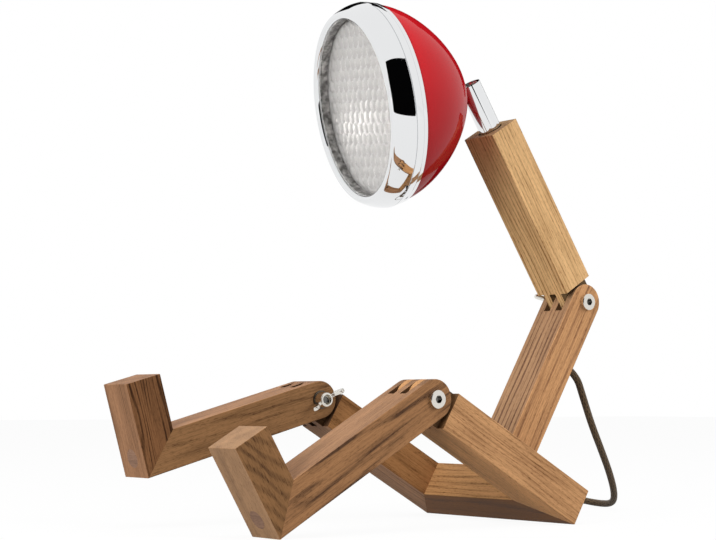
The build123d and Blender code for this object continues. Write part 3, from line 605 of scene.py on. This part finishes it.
def face_tone_and_shade(tree, grain, on_side, sides, edges, under, ends):
    """The edges' tint, with those of the underside, the sawn ends and the sides laid over it."""
    layers = []
    # An underside's tint is painted shade.
    if under:
        z = add(tree, "SeparateXYZ", [add(tree, "TexCoord", out="Normal")], out="Z")
        reach = {"Value": z, "From Min": UNDER_FROM, "From Max": UNDER_FULL}
        layers.append((add(tree, "MapRange", reach), under))
    # A sawn end's tint is partly the end grain's own depth and partly painted shade.
    if ends:
        layers.append((end_faces(tree, grain), ends))
    tint = edges
    for share, own in (*layers, (on_side, sides)):
        both = {"Factor": share, "A": tint, "B": own}
        tint = add(tree, "Mix", both, "Result", data_type="VECTOR")
    return tint


print("a side's normal is at least", SIDE_FULL, "along X")
# %% [markdown]
# ## Painted shade in the slots
#
# Where two bars meet at a hinge they are cut into fingers. The walls of the slots between
# them and the shoulders at the slots' ends lie in the fingers' shade, and that shade is
# painted: they keep only a small part of the bar's colour. The round ends of the fingers
# near the hinge get part of that painted shade too.
# %% Slots, shoulders and finger ends
# The slot walls and shoulders are painted shade: they keep this share of the bar's own colour.
SLOT_SHADE = 0.22            # what bare faces keep of the bar's own colour
SHOULDER_NEAR = 12.0 * MM   # shoulders lie between these two distances from the hinge
SHOULDER_FAR = 17.0 * MM
KNUCKLE_SHARE = 0.3         # how much of that darkness the fingers' round ends have


def off_axis(tree, hinge):
    """How far a place lies from a hinge's axis, which runs along X."""
    where = add(tree, "TexCoord", out="Object")
    axis_at = tuple(joints[hinge]["pos_m"])
    off = add(tree, "VectorMath", [where, axis_at], operation="SUBTRACT")
    flat = add(tree, "VectorMath", [off, (0, 1, 1)], operation="MULTIPLY")
    return add(tree, "VectorMath", [flat], "Value", operation="LENGTH")


def painted_hinge_shade(tree, grain, on_side, hinge):
    """Two masks: 1 on the shoulders round a hinge, and 1 on the fingers' round ends."""
    away = off_axis(tree, hinge)
    beyond = add(tree, "Math", [away, SHOULDER_NEAR], operation="GREATER_THAN")
    before = add(tree, "Math", [away, SHOULDER_FAR], operation="LESS_THAN")
    ring = add(tree, "Math", [beyond, before], operation="MULTIPLY")
    shoulder = add(tree, "Math", [ring, end_faces(tree, grain)], operation="MULTIPLY")
    near = add(tree, "Math", [away, SHOULDER_NEAR], operation="LESS_THAN")
    off_side = add(tree, "Math", [1.0, on_side], operation="SUBTRACT")
    knuckle = add(tree, "Math", [near, off_side], operation="MULTIPLY")
    return shoulder, knuckle


def painted_slot_shade(tree, grain, on_side, slots, hinge):
    """What a face keeps of its colour under painted shade: all outside, the share set above on slot
    walls and shoulders, and a little less than all on the fingers' round ends.

    slots is the bar's middle in X and the half width between which its side-on faces are
    the walls of slots.
    """
    middle, half = slots
    x = add(tree, "SeparateXYZ", [add(tree, "TexCoord", out="Object")], out="X")
    off = add(tree, "Math", [x, middle], operation="SUBTRACT")
    size = add(tree, "Math", [off], operation="ABSOLUTE")
    inside = add(tree, "Math", [size, half], operation="LESS_THAN")
    bare = add(tree, "Math", [inside, on_side], operation="MULTIPLY")
    if hinge:
        shoulder, knuckle = painted_hinge_shade(tree, grain, on_side, hinge)
        bare = add(tree, "Math", [bare, shoulder], operation="MAXIMUM")
        bare = add(tree, "Math", [knuckle, KNUCKLE_SHARE, bare], operation="MULTIPLY_ADD")
    return add(tree, "Math", [bare, SLOT_SHADE - 1.0, 1.0], operation="MULTIPLY_ADD")


print("bare faces keep", SLOT_SHADE, "of the colour")
# %% [markdown]
# ## Oiled hardwood
#
# The tone of a place is the sum of broad bands, fibres and growth lines, and a ramp turns
# it into colour: paler wood, the board's own colour, and the growth lines' colour. Pores
# darken it further, each face gets its tint (partly its own tone, partly painted light and
# shade), the slots get painted shade, and the fibres stand a little proud of the pores.
# Oiled wood is not varnished, so it is rough and hardly shines.
# %% Wood material
BROAD_SHARE = 0.4
PALER = 1.35                        # the palest wood against the board's own colour
PORE_FROM, PORE_FULL = 0.55, 0.66   # where in their noise the pores start and are full
PORE_DEPTH = 0.3                    # of a pore, and as much again on a growth line


def oiled_wood(name, grain, colour, line_colour, line_mm=3.2, line=0.16, slant=20.0, seed=0.0,
               wander=1.0, lean=0.0, line_from=0.2, fade=(0.36, 0.62), fibres=0.5, edge_line=1.0,
               sides=PLAIN, edges=PLAIN, under=None, ends=None, slots=None, hinge=None):
    """Tone = broad noise + fibres + growth lines, through a ramp, times pores, oil and bare wood.

    grain: the direction along the bar; slant and seed turn and move the pattern in it
    line_mm, line, line_colour: the growth lines' distance, strength and colour
    wander, lean: how much they bend, and how far they tip across the bar
    line_from: where in its wave a line starts; a lower value gives a broader line
    fade: the values of their noise at which lines come up and are full
    edge_line: the lines' strength on the edges against that on the sides
    fibres: the fibres' share of the tone
    sides, edges, under, ends: the tint on each kind of face, partly own tone, partly painted light
    and shade
    slots, hinge: where the painted shade of slots, shoulders and finger ends is laid
    """
    material, tree = new_material(name)
    board = grain_space(tree, grain, slant, seed)
    on_side = side_faces(tree)
    lines = growth_lines(tree, board, line_mm, wander, lean, line_from, fade)
    kept = add(tree, "Math", [on_side, 1.0 - edge_line, edge_line], operation="MULTIPLY_ADD")
    lines = add(tree, "Math", [lines, kept], operation="MULTIPLY")
    fibre = streaks(tree, board, FIBRE_MM, ratio=40.0, detail=3.0)
    broad = streaks(tree, board, BROAD_MM, ratio=6.0, detail=2.0)
    tone = 0.5 - 0.5 * fibres - 0.5 * BROAD_SHARE
    for part, share in ((fibre, fibres), (broad, BROAD_SHARE), (lines, line)):
        tone = add(tree, "Math", [part, share, tone], operation="MULTIPLY_ADD")
    wood = add(tree, "ValToRGB", [tone], stops=[
        (0.25, linear(colour, PALER)), (0.5, linear(colour)), (0.78, linear(line_colour)),
    ])

    pore = streaks(tree, board, PORE_MM, ratio=7.0, detail=1.0)
    pore = add(tree, "MapRange", {"Value": pore, "From Min": PORE_FROM, "From Max": PORE_FULL})
    depth = add(tree, "Math", [lines, PORE_DEPTH, PORE_DEPTH], operation="MULTIPLY_ADD")
    pore = add(tree, "Math", [pore, depth], operation="MULTIPLY")
    both = {"Factor": pore, "A": wood, "B": linear(line_colour)}
    wood = add(tree, "Mix", both, "Result", data_type="RGBA", blend_type="MULTIPLY")

    # Each face's tint: partly the wood's own tone, partly painted light and shade.
    face_tint = face_tone_and_shade(tree, grain, on_side, sides, edges, under, ends)
    # Painted shade in the slots, on the shoulders and on the fingers' round ends.
    if slots:
        bare = painted_slot_shade(tree, grain, on_side, slots, hinge)
        face_tint = add(tree, "VectorMath", {0: face_tint, "Scale": bare}, operation="SCALE")
    height = add(tree, "Math", [pore, -1.0, fibre], operation="MULTIPLY_ADD")
    shader = add(tree, "BsdfPrincipled", {
        "Base Color": add(tree, "VectorMath", [wood, face_tint], operation="MULTIPLY"),
        "Roughness": 0.6,
        "Specular IOR Level": 0.12,
        "Normal": add(tree, "Bump", {"Height": height, "Strength": 0.2, "Distance": 0.2 * MM}),
    })
    add(tree, "OutputMaterial", [shader], out=None)
    return material


for side in ("left", "right"):
    plug_wood = oiled_wood("oiled_walnut_heel_plug_" + side, (1, 0, 0), "8f6f5b", "604a40",
                           line=0.06, seed=0.35)
    dress(plug_wood, "heel_plug_" + side)
dowel_wood = oiled_wood("beech_dowel", (1, 0, 0), "d8b488", "a87c4e")
dress(dowel_wood, "mitre_dowel_left", "mitre_dowel_right", "torso_dowels")
# %% [markdown]
# ## Which way the grain runs
#
# Each bar's grain runs along it. The directions come from the joints: a thigh runs from
# the hips' back edge to its knee, the lower torso stands square to the thighs, and so on.
# Feet run across their shins. The legs are the darker boards, the lower torso is a
# straight-grained one and the upper torso the palest. No two boards share a seed.
# %% Grain directions and the boards


def side_view(degrees):
    """A direction in the side view, degrees from +Y towards +Z."""
    return (0, math.cos(math.radians(degrees)), math.sin(math.radians(degrees)))


THIGH = TORSO_RISE - 90
LOWER_TORSO = TORSO_RISE + 180
UPPER_TORSO = 122.2
LEFT_SHIN = 210.3
RIGHT_SHIN = 195.6
SLOT_MARGIN = 2.0 * MM      # a slot's walls are all further in than this
# The tints of sides, edges and undersides below are partly each board's own tone and partly painted
# light and shade for the faces that the lamps light or leave in shade. The crossbar's under tint is
# painted shade.
boards = {
    "thigh_left": dict(
        grain=side_view(THIGH), hinge="left_knee", colour="c39366", line_colour="7c5334",
        line=0.11, line_mm=2.6, slant=65, seed=0.13, fade=(0.2, 0.6),
        edges=(1.38, 1.34, 1.24), edge_line=0.3),
    "thigh_right": dict(
        grain=side_view(THIGH), hinge="right_knee", colour="b98a66", line_colour="744e30",
        slant=15, seed=0.41, sides=(0.64, 0.58, 0.42)),
    "crossbar": dict(
        grain=(1, 0, 0), colour="b58759", line_colour="7a5534",
        line=0.14, line_mm=4.0, slant=40, seed=0.77, fade=(0.1, 0.5), under=(0.43, 0.30, 0.10)),
    "shin_left": dict(
        grain=side_view(LEFT_SHIN), hinge="left_knee", colour="b2845f", line_colour="5f4434",
        line=0.26, line_mm=7.0, slant=78, seed=0.29, wander=1.7,
        sides=(0.76, 0.73, 0.65), edges=(0.86, 0.89, 0.93), edge_line=0.2),
    "shin_right": dict(
        grain=side_view(RIGHT_SHIN), hinge="right_knee", colour="b4875f", line_colour="5c3e28",
        line=0.12, slant=30, seed=0.57,
        sides=(0.57, 0.55, 0.50), edges=(0.93, 0.91, 1.0), edge_line=0.5),
    "foot_left": dict(
        grain=side_view(LEFT_SHIN + 90), colour="a88463", line_colour="5c4536",
        line=0.12, line_mm=7.5, slant=90, seed=0.91, wander=2.2, lean=-0.62, line_from=-0.5,
        fade=(0.0, 0.3), fibres=0.28,
        sides=(0.61, 0.52, 0.40), edges=(0.96, 0.94, 0.92), edge_line=0.15),
    "foot_right": dict(
        grain=side_view(RIGHT_SHIN + 90), colour="a87c5c", line_colour="4a2f1c",
        line=0.22, line_mm=3.0, slant=84, seed=0.66, wander=2.4, fade=(0.25, 0.55),
        sides=(0.48, 0.42, 0.33), edges=(0.87, 0.87, 0.85), edge_line=0.1),
    "lower_torso": dict(
        grain=side_view(LOWER_TORSO), hinge="waist", colour="c99769", line_colour="8a6144",
        line=0.18, line_mm=3.3, slant=35, seed=0.23, wander=0.5, fade=(0.25, 0.6),
        edges=(0.74, 0.81, 0.94), edge_line=1.8),
    "upper_torso": dict(
        grain=side_view(UPPER_TORSO), hinge="waist", colour="ddb37f", line_colour="946a3e",
        line=0.09, line_mm=2.0, slant=48, seed=0.49, wander=0.5, fade=(0.25, 0.55),
        edges=(1.0, 1.03, 1.03), edge_line=1.9, ends=(0.55, 0.55, 0.6)),
}
for board_name, finish in boards.items():
    low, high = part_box(board_name)
    slots = ((low[0] + high[0]) / 2, (high[0] - low[0]) / 2 - SLOT_MARGIN)
    dress(oiled_wood("oiled_oak_" + board_name, slots=slots, **finish), board_name)
# %% [markdown]
# ## Metal
#
# The neck tube and the bezel are polished and chromed, so they show the room and little
# else: a metal with almost no roughness. The bolts and wing nuts are nickel plated on a
# machined or cast surface. Their plating is bright but blurs the room a little. The washers
# are rough zinc plate, made dark as painted shade beside the wood, and the neck's bush is
# bronze, made dark as the painted shade round the foot of the tube.
# %% Metal materials
GRAIN_DEEP = 0.1 * MM   # depth of a surface's own grain, before the strength of its bump


def plated(name, colour, roughness, grain_mm, bump):
    """A plated metal; a fine noise stands for the surface under the plating."""
    material, tree = new_material(name)
    grain = blotches(tree, grain_mm)
    blur = {"Value": grain, "To Min": roughness * 0.7, "To Max": roughness * 1.4}
    shader = add(tree, "BsdfPrincipled", {
        "Base Color": linear(colour),
        "Metallic": 1.0,
        "Roughness": add(tree, "MapRange", blur),
        "Normal": add(tree, "Bump", {"Height": grain, "Strength": bump, "Distance": GRAIN_DEEP}),
    })
    add(tree, "OutputMaterial", [shader], out=None)
    return material


chrome = plated("polished_chrome_plate", "e6e7e8", 0.03, grain_mm=4.0, bump=0.004)
nickel = plated("nickel_plated_steel", "dcd8d0", 0.24, grain_mm=0.6, bump=0.12)
cast_nickel = plated("nickel_plated_zinc_casting", "dedad2", 0.15, grain_mm=0.5, bump=0.3)
# The washers' dark colour is painted shade beside the wood.
zinc_painted_dark = plated("zinc_plated_steel_painted_dark", "6a6258", 0.45, grain_mm=0.5, bump=0.2)
# The bush's dark colour is painted shade round the foot of the neck tube.
bronze = plated("bronze_painted_dark", "35281c", 0.8, grain_mm=0.5, bump=0.1)
dress(chrome, "neck_tube", "tilt_tab")
dress(nickel, "heel_screw_left", "heel_screw_right", "stud_washer", "stud_nut",
      "neck_collar", "tilt_pin", "tilt_fork", "plug_pins")
dress(cast_nickel, "knee_left_wing_nut", "knee_right_wing_nut", "waist_wing_nut")
dress(zinc_painted_dark, "knee_left_washer", "knee_right_washer", "waist_washer")
dress(bronze, "neck_bush")
# %% [markdown]
# A hinge bolt has a hexagon socket. Its shade is painted: the metal is dark near the bolt's
# axis, in the socket and in the middle of the far end, and bright on the rest of its head.
# %% Bolts with painted shade in the socket
SOCKET_R = 2.2 * MM
TURNED_MM = 0.6     # the turned surface under the plating


def bolt_with_painted_socket_shade(name, hinge):
    """A nickel plated bolt; near its axis, in the socket, its colour is dark as painted shade."""
    material, tree = new_material(name)
    edge = {"From Min": SOCKET_R - 0.2 * MM, "From Max": SOCKET_R + 0.1 * MM}
    bright = add(tree, "MapRange", {"Value": off_axis(tree, hinge), **edge})
    both = {"Factor": bright, "A": linear("6b6965"), "B": linear("dcd8d0")}
    turned = blotches(tree, TURNED_MM)
    shader = add(tree, "BsdfPrincipled", {
        "Base Color": add(tree, "Mix", both, "Result", data_type="RGBA"),
        "Metallic": 1.0,
        "Roughness": add(tree, "MapRange", {"Value": turned, "To Min": 0.18, "To Max": 0.34}),
        "Normal": add(tree, "Bump", {"Height": turned, "Strength": 0.1, "Distance": GRAIN_DEEP}),
    })
    add(tree, "OutputMaterial", [shader], out=None)
    return material


for bolt, hinge in (("knee_left", "left_knee"), ("knee_right", "right_knee"), ("waist", "waist")):
    dress(bolt_with_painted_socket_shade("nickel_plated_bolt_" + bolt, hinge), bolt + "_bolt")
# %% [markdown]
# ## Plastic and rubber
#
# The gland, switch and plug are moulded from dark brown plastic with a fine spark-eroded
# texture. The lamp holder is a pale heat-proof plastic and the gasket is black rubber.
# %% Moulded materials


def moulded(name, colour, roughness, grain_mm, bump):
    """A moulded plastic or rubber with the fine texture of its mould."""
    material, tree = new_material(name)
    grain = blotches(tree, grain_mm, detail=4.0)
    shader = add(tree, "BsdfPrincipled", {
        "Base Color": linear(colour),
        "Roughness": roughness,
        "Normal": add(tree, "Bump", {"Height": grain, "Strength": bump, "Distance": GRAIN_DEEP}),
    })
    add(tree, "OutputMaterial", [shader], out=None)
    return material


brown_plastic = moulded("moulded_brown_plastic", "2f2419", 0.42, grain_mm=0.4, bump=0.2)
black_plastic = moulded("moulded_black_rocker", "141312", 0.3, grain_mm=0.4, bump=0.1)
pale_plastic = moulded("pale_lamp_holder", "dcd8cf", 0.5, grain_mm=0.4, bump=0.1)
rubber = moulded("black_rubber", "151515", 0.7, grain_mm=0.5, bump=0.3)
dress(brown_plastic, "cord_gland", "switch_base", "switch_cover", "plug_body")
dress(black_plastic, "switch_rocker")
dress(pale_plastic, "lamp_holder")
dress(rubber, "lens_gasket")
# %% [markdown]
# ## The head's own frame
#
# The bowl, bezel, lens and reflector are all turned shapes on one axis. That axis starts
# at the tilt pin and runs through the middle of the lens. Profiles are written as radius
# and distance along it, in millimetres, and one function turns them into the model.
# %% Head frame and the lathe
ROUND_STEPS = 192
CREASE = 28     # degrees; a sharper bend in a profile stays a crisp crease
tilt_at = np.array(joints["head_tilt"]["pos_m"])
tilt_dir = np.array(joints["head_tilt"]["axis"])
lens_low, lens_high = (np.array(corner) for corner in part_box("lens"))
head_dir = (lens_low + lens_high) / 2 - tilt_at
head_dir = head_dir / np.linalg.norm(head_dir)
head_axes = np.stack([tilt_dir, np.cross(head_dir, tilt_dir), head_dir])


def in_head(points_mm):
    """Places in the head's own frame, in mm, as places in the model, in metres."""
    return tilt_at + np.asarray(points_mm) * MM @ head_axes


def turned_mesh(name, profile):
    """Each (radius, distance) of a closed profile carried once round the head's axis."""
    profile = np.asarray(profile, dtype=float)
    angle = np.linspace(0, 2 * np.pi, ROUND_STEPS, endpoint=False)
    points = np.stack(np.broadcast_arrays(
        profile[:, :1] * np.cos(angle),
        profile[:, :1] * np.sin(angle),
        profile[:, 1:],
    ), axis=-1)
    mesh = grid_mesh(name, in_head(points), closed=True)
    mesh.set_sharp_from_angle(angle=math.radians(CREASE))
    return mesh


def arc(start, middle, end, count=12):
    """Points of the circle through three places in the profile plane."""
    (ax, ay), (bx, by), (cx, cy) = start, middle, end
    rows = np.array([[bx - ax, by - ay], [cx - ax, cy - ay]])
    half = np.array([(bx**2 - ax**2 + by**2 - ay**2) / 2, (cx**2 - ax**2 + cy**2 - ay**2) / 2])
    centre = np.linalg.solve(rows, half)
    radius = math.hypot(ax - centre[0], ay - centre[1])
    angles = np.unwrap([math.atan2(y - centre[1], x - centre[0]) for x, y in (start, middle, end)])
    sweep = np.linspace(angles[0], angles[2], count)
    return [(centre[0] + radius * math.cos(a), centre[1] + radius * math.sin(a)) for a in sweep]


print("the head looks along", head_dir.round(3))
# %% [markdown]
# ## Chrome bezel
#
# The bezel is spun from sheet: a rolled front rim, a slightly bulged cone, and behind a
# crease a narrower band that ends in a hem over the bowl. The creases matter most, because
# in a mirror finish every reflection breaks there.
# %% Bezel
OPENING_R = 53.2
LENS_FRONT = 73.9
bezel_profile = [
    (OPENING_R, LENS_FRONT),
    (OPENING_R, 79.4),
    *arc((53.3, 80.2), (55.6, 82.2), (57.9, 81.1)),
    *arc((58.2, 80.7), (60.9, 75.2), (62.35, 68.9)),
    (61.8, 68.75),
    (61.8, 68.35),
    *arc((62.3, 68.2), (62.0, 66.0), (61.45, 63.9), 6),
    (61.15, 63.75),
    (61.15, 63.55),
    *arc((61.35, 63.4), (61.2, 62.1), (61.0, 61.1), 6),
    (60.7, 60.8),
    (60.1, 60.8),
    (60.1, 66.0),
    *arc((61.0, 70.6), (59.8, 75.2), (56.9, 79.6), 8),
    (54.7, 79.2),
    (54.7, LENS_FRONT),
]
bezel_mesh = turned_mesh("bezel_ring", bezel_profile[::-1])
add_piece("bezel_ring", bezel_mesh, chrome, HEAD, ["bezel"])
# %% [markdown]
# The wall between the rim and the glass is a grey metal whose dark and pale spots are
# painted reflection and shade of the glass. It is a thin ring of its own inside the bezel.
# %% Inner wall
LIP_R = OPENING_R - 0.15
LIP_BACK = LENS_FRONT + 0.1
LIP_FRONT = 79.2
SPOT_MM = 3.4
lip_profile = [(OPENING_R, LIP_BACK), (LIP_R, LIP_BACK), (LIP_R, 79.0), (OPENING_R, LIP_FRONT)]


def plating_with_painted_reflections():
    """Grey metal: spots = noise through a ramp of greys, as painted reflection and shade, and their
    height.
    """
    material, tree = new_material("steel_with_painted_reflections")
    spots = blotches(tree, SPOT_MM)
    shader = add(tree, "BsdfPrincipled", {
        "Base Color": add(tree, "ValToRGB", [spots], stops=[
            (0.36, linear("6a6968")), (0.5, linear("9b9a98")), (0.64, linear("cbcac8")),
        ]),
        "Metallic": 1.0,
        "Roughness": 0.3,
        "Normal": add(tree, "Bump", {"Height": spots, "Strength": 0.5, "Distance": 0.4 * MM}),
    })
    add(tree, "OutputMaterial", [shader], out=None)
    return material


lip_mesh = turned_mesh("bezel_lip", lip_profile[::-1])
add_piece("bezel_lip", lip_mesh, plating_with_painted_reflections(), HEAD)
# %% [markdown]
# ## Red bowl
#
# The bowl is pressed steel under a thick gloss enamel. Its curve stays a little inside an
# ellipse, with straighter sides: both the sine and the cosine of an ellipse are raised to a
# power just above one. The enamel is a saturated red under a clear, hard gloss, so it shows
# deep colour where the room is dark and a pale veil where it is bright.
# %% Bowl
BOWL_R = 60.0
BOWL_EDGE = 60.8
BOWL_COLLAR = 5.2       # straight wall ahead of the edge, inside the bezel
BOWL_DEPTH = 52.9
BOWL_BACK = 8.6
BOWL_WALL = 1.2
STUD_R = 4.05           # hole for the stud in the bowl's back
POWER_ALONG = 1.336
POWER_OUT = 1.203


def bowl_curve(inset, count=48):
    """Radius = R sin^p, distance = edge - depth cos^q, cut off flat at the back."""
    angle = np.linspace(0.0, np.pi / 2, count)
    radius = (BOWL_R - inset) * np.sin(angle) ** POWER_OUT
    distance = BOWL_EDGE - (BOWL_DEPTH - inset) * np.clip(np.cos(angle), 0, 1) ** POWER_ALONG
    curve = np.stack([radius, np.maximum(distance, BOWL_BACK + inset)], axis=-1)
    return curve[radius > STUD_R]


bowl_profile = [
    (STUD_R, BOWL_BACK),
    *bowl_curve(0),
    (BOWL_R, BOWL_EDGE + BOWL_COLLAR),
    (BOWL_R - BOWL_WALL, BOWL_EDGE + BOWL_COLLAR),
    *bowl_curve(BOWL_WALL)[::-1],
    (STUD_R, BOWL_BACK + BOWL_WALL),
]
bowl_mesh = turned_mesh("bowl_shell", bowl_profile)
print("bowl profile", len(bowl_profile), "points")
# %% [markdown]
# Sprayed enamel is never quite flat: a faint orange peel moves its highlights, and its red
# changes a little from place to place.
# %% Enamel
PEEL_MM = 2.857
CLOUD_MM = 33.33


def gloss_enamel():
    """Deep red base under a clear coat, with the faint orange peel of sprayed enamel."""
    material, tree = new_material("gloss_red_enamel")
    peel = blotches(tree, PEEL_MM, detail=2.0)
    cloud = blotches(tree, CLOUD_MM, detail=2.0)
    reds = [(0.3, linear("bc151e")), (0.7, linear("c21922"))]
    shader = add(tree, "BsdfPrincipled", {
        "Base Color": add(tree, "ValToRGB", [cloud], stops=reds),
        "Roughness": 0.45,
        "Specular IOR Level": 0.0,
        "Coat Weight": 0.42,
        "Coat Roughness": 0.04,
        "Normal": add(tree, "Bump", {"Height": peel, "Strength": 0.02, "Distance": GRAIN_DEEP}),
    })
    add(tree, "OutputMaterial", [shader], out=None)
    return material


add_piece("bowl_shell", bowl_mesh, gloss_enamel(), HEAD, ["bowl"])
# %% [markdown]
# ## Moulded lens
#
# The glass has a honeycomb of small pillows, each of which spreads the light. A pillow's
# height falls with the square of the distance to the nearest honeycomb centre, so that
# neighbours meet in sharp valleys, and those valleys are the scales that one sees. It is
# real relief on the front, with a plain back, on a grid fine enough for eleven points or
# more across a pillow.
# %% Lens
PILLOW_MM = 7.6         # between neighbouring centres
PILLOW_RISE = 0.95
CORNER_SHARE = 0.577    # of that spacing, from a centre to the corners of its cell
CROWN = 0.9             # how much the middle of the front stands out
VALLEY = 0.6            # how far the pattern's foot lies behind the front
LENS_R = 59.0
LENS_T = 3.2
PATTERN_R = 52.4
PATTERN_END = 0.8       # width of the edge in which the pattern runs out
RIM_RINGS = (53.0, 56.0)    # of the plain rim, outside the pattern
BACK_SHARE = 0.6        # where the plain back's middle ring lies
PINHOLE_R = 0.02        # in the middle, so that front and back are one closed grid
LENS_RINGS = 108
LENS_STEPS = 480
LENS_CREASE = 50


def nearest_centre(x, y, pitch):
    """Squared distance to the nearest point of a honeycomb, which is two shifted grids."""
    tall = pitch * math.sqrt(3)
    squares = []
    for shift in (0.0, 0.5):
        dx = x / pitch + shift
        dy = y / tall + shift
        squares.append(((dx - np.round(dx)) * pitch) ** 2 + ((dy - np.round(dy)) * tall) ** 2)
    return np.minimum(*squares)


def lens_mesh():
    """Distance = foot + (pillow + crown), running out at the edge; then rim and plain back."""
    pattern = np.linspace(PINHOLE_R, PATTERN_R, LENS_RINGS)
    back = [LENS_R, LENS_R * BACK_SHARE, PINHOLE_R]
    radii = np.concatenate([pattern, RIM_RINGS, [LENS_R], back])[:, None]
    angle = np.linspace(0, 2 * np.pi, LENS_STEPS, endpoint=False)
    x = radii * np.cos(angle)
    y = radii * np.sin(angle)
    cell = nearest_centre(x, y, PILLOW_MM) / (PILLOW_MM * CORNER_SHARE) ** 2
    relief = PILLOW_RISE * (1 - cell) + CROWN * (1 - (radii / LENS_R) ** 2)
    z = LENS_FRONT - VALLEY + relief * np.clip((PATTERN_R - radii) / PATTERN_END, 0, 1)
    z[-len(back):] = LENS_FRONT - LENS_T
    mesh = grid_mesh("lens_pillows", in_head(np.stack([x, y, z], axis=-1)), closed=True, flip=True)
    mesh.set_sharp_from_angle(angle=math.radians(LENS_CREASE))
    return mesh


pillows = lens_mesh()
print("lens grid", LENS_STEPS, "points round and", LENS_RINGS, "rings of pattern")
# %% [markdown]
# Lamp glass is clear soda glass, pressed in a mould. Its face is slightly soft, so what is
# seen through it is broken up and a little blurred. Part of it is drawn as a pale solid,
# which stands for the light that the real thickness scatters.
# %% Lens glass
RIPPLE_MM = 2.5


def moulded_glass():
    """Clear soda glass with the slight softness of a moulded face."""
    material, tree = new_material("moulded_lamp_glass")
    ripple = blotches(tree, RIPPLE_MM, detail=2.0)
    shader = add(tree, "BsdfPrincipled", {
        "Base Color": linear("fffdfb"),
        "Roughness": 0.05,
        "IOR": 1.5,
        "Transmission Weight": 0.66,
        "Normal": add(tree, "Bump", {"Height": ripple, "Strength": 0.06, "Distance": 0.2 * MM}),
    })
    add(tree, "OutputMaterial", [shader], out=None)
    return material


add_piece("lens_pillows", pillows, moulded_glass(), HEAD, ["lens"])
# %% [markdown]
# ## Reflector and bulb
#
# Behind the glass sits a bright dish and a small frosted bulb. The dish is turned like the
# bowl, a parabola in polished aluminium. The bulb's glass is etched, so it looks pale grey.
# %% Reflector and bulb
DISH_BACK = 31.0
DISH_RIM_R = 53.5
DISH_FRONT = 66.9
THROAT_R = 11.2
DISH_T = 0.9
ETCH_MM = 0.4


def dish_curve(grow, count=40):
    """Distance rises with the square of the radius, from the throat to the rim."""
    radius = np.linspace(THROAT_R, DISH_RIM_R, count)
    share = (radius**2 - THROAT_R**2) / (DISH_RIM_R**2 - THROAT_R**2)
    distance = DISH_BACK + (DISH_FRONT - DISH_BACK) * share
    return np.stack([radius + grow, distance - grow], axis=-1)


def frosted_glass():
    """The bulb's etched envelope: rough glass that looks pale grey."""
    material, tree = new_material("frosted_bulb_glass")
    etch = blotches(tree, ETCH_MM, detail=2.0)
    shader = add(tree, "BsdfPrincipled", {
        "Base Color": linear("f2f0ea"),
        "Roughness": 0.35,
        "Normal": add(tree, "Bump", {"Height": etch, "Strength": 0.1, "Distance": GRAIN_DEEP}),
    })
    add(tree, "OutputMaterial", [shader], out=None)
    return material


dish_profile = [
    *dish_curve(0),
    (LENS_R, DISH_FRONT),
    (LENS_R, DISH_FRONT - DISH_T),
    *dish_curve(DISH_T)[::-1],
]
dish_mesh = turned_mesh("reflector_dish", dish_profile[::-1])
aluminium = plated("bright_aluminium", "fcfbfa", 0.34, grain_mm=1.5, bump=0.02)
add_piece("reflector_dish", dish_mesh, aluminium, HEAD, ["reflector"])
dress(frosted_glass(), "bulb")
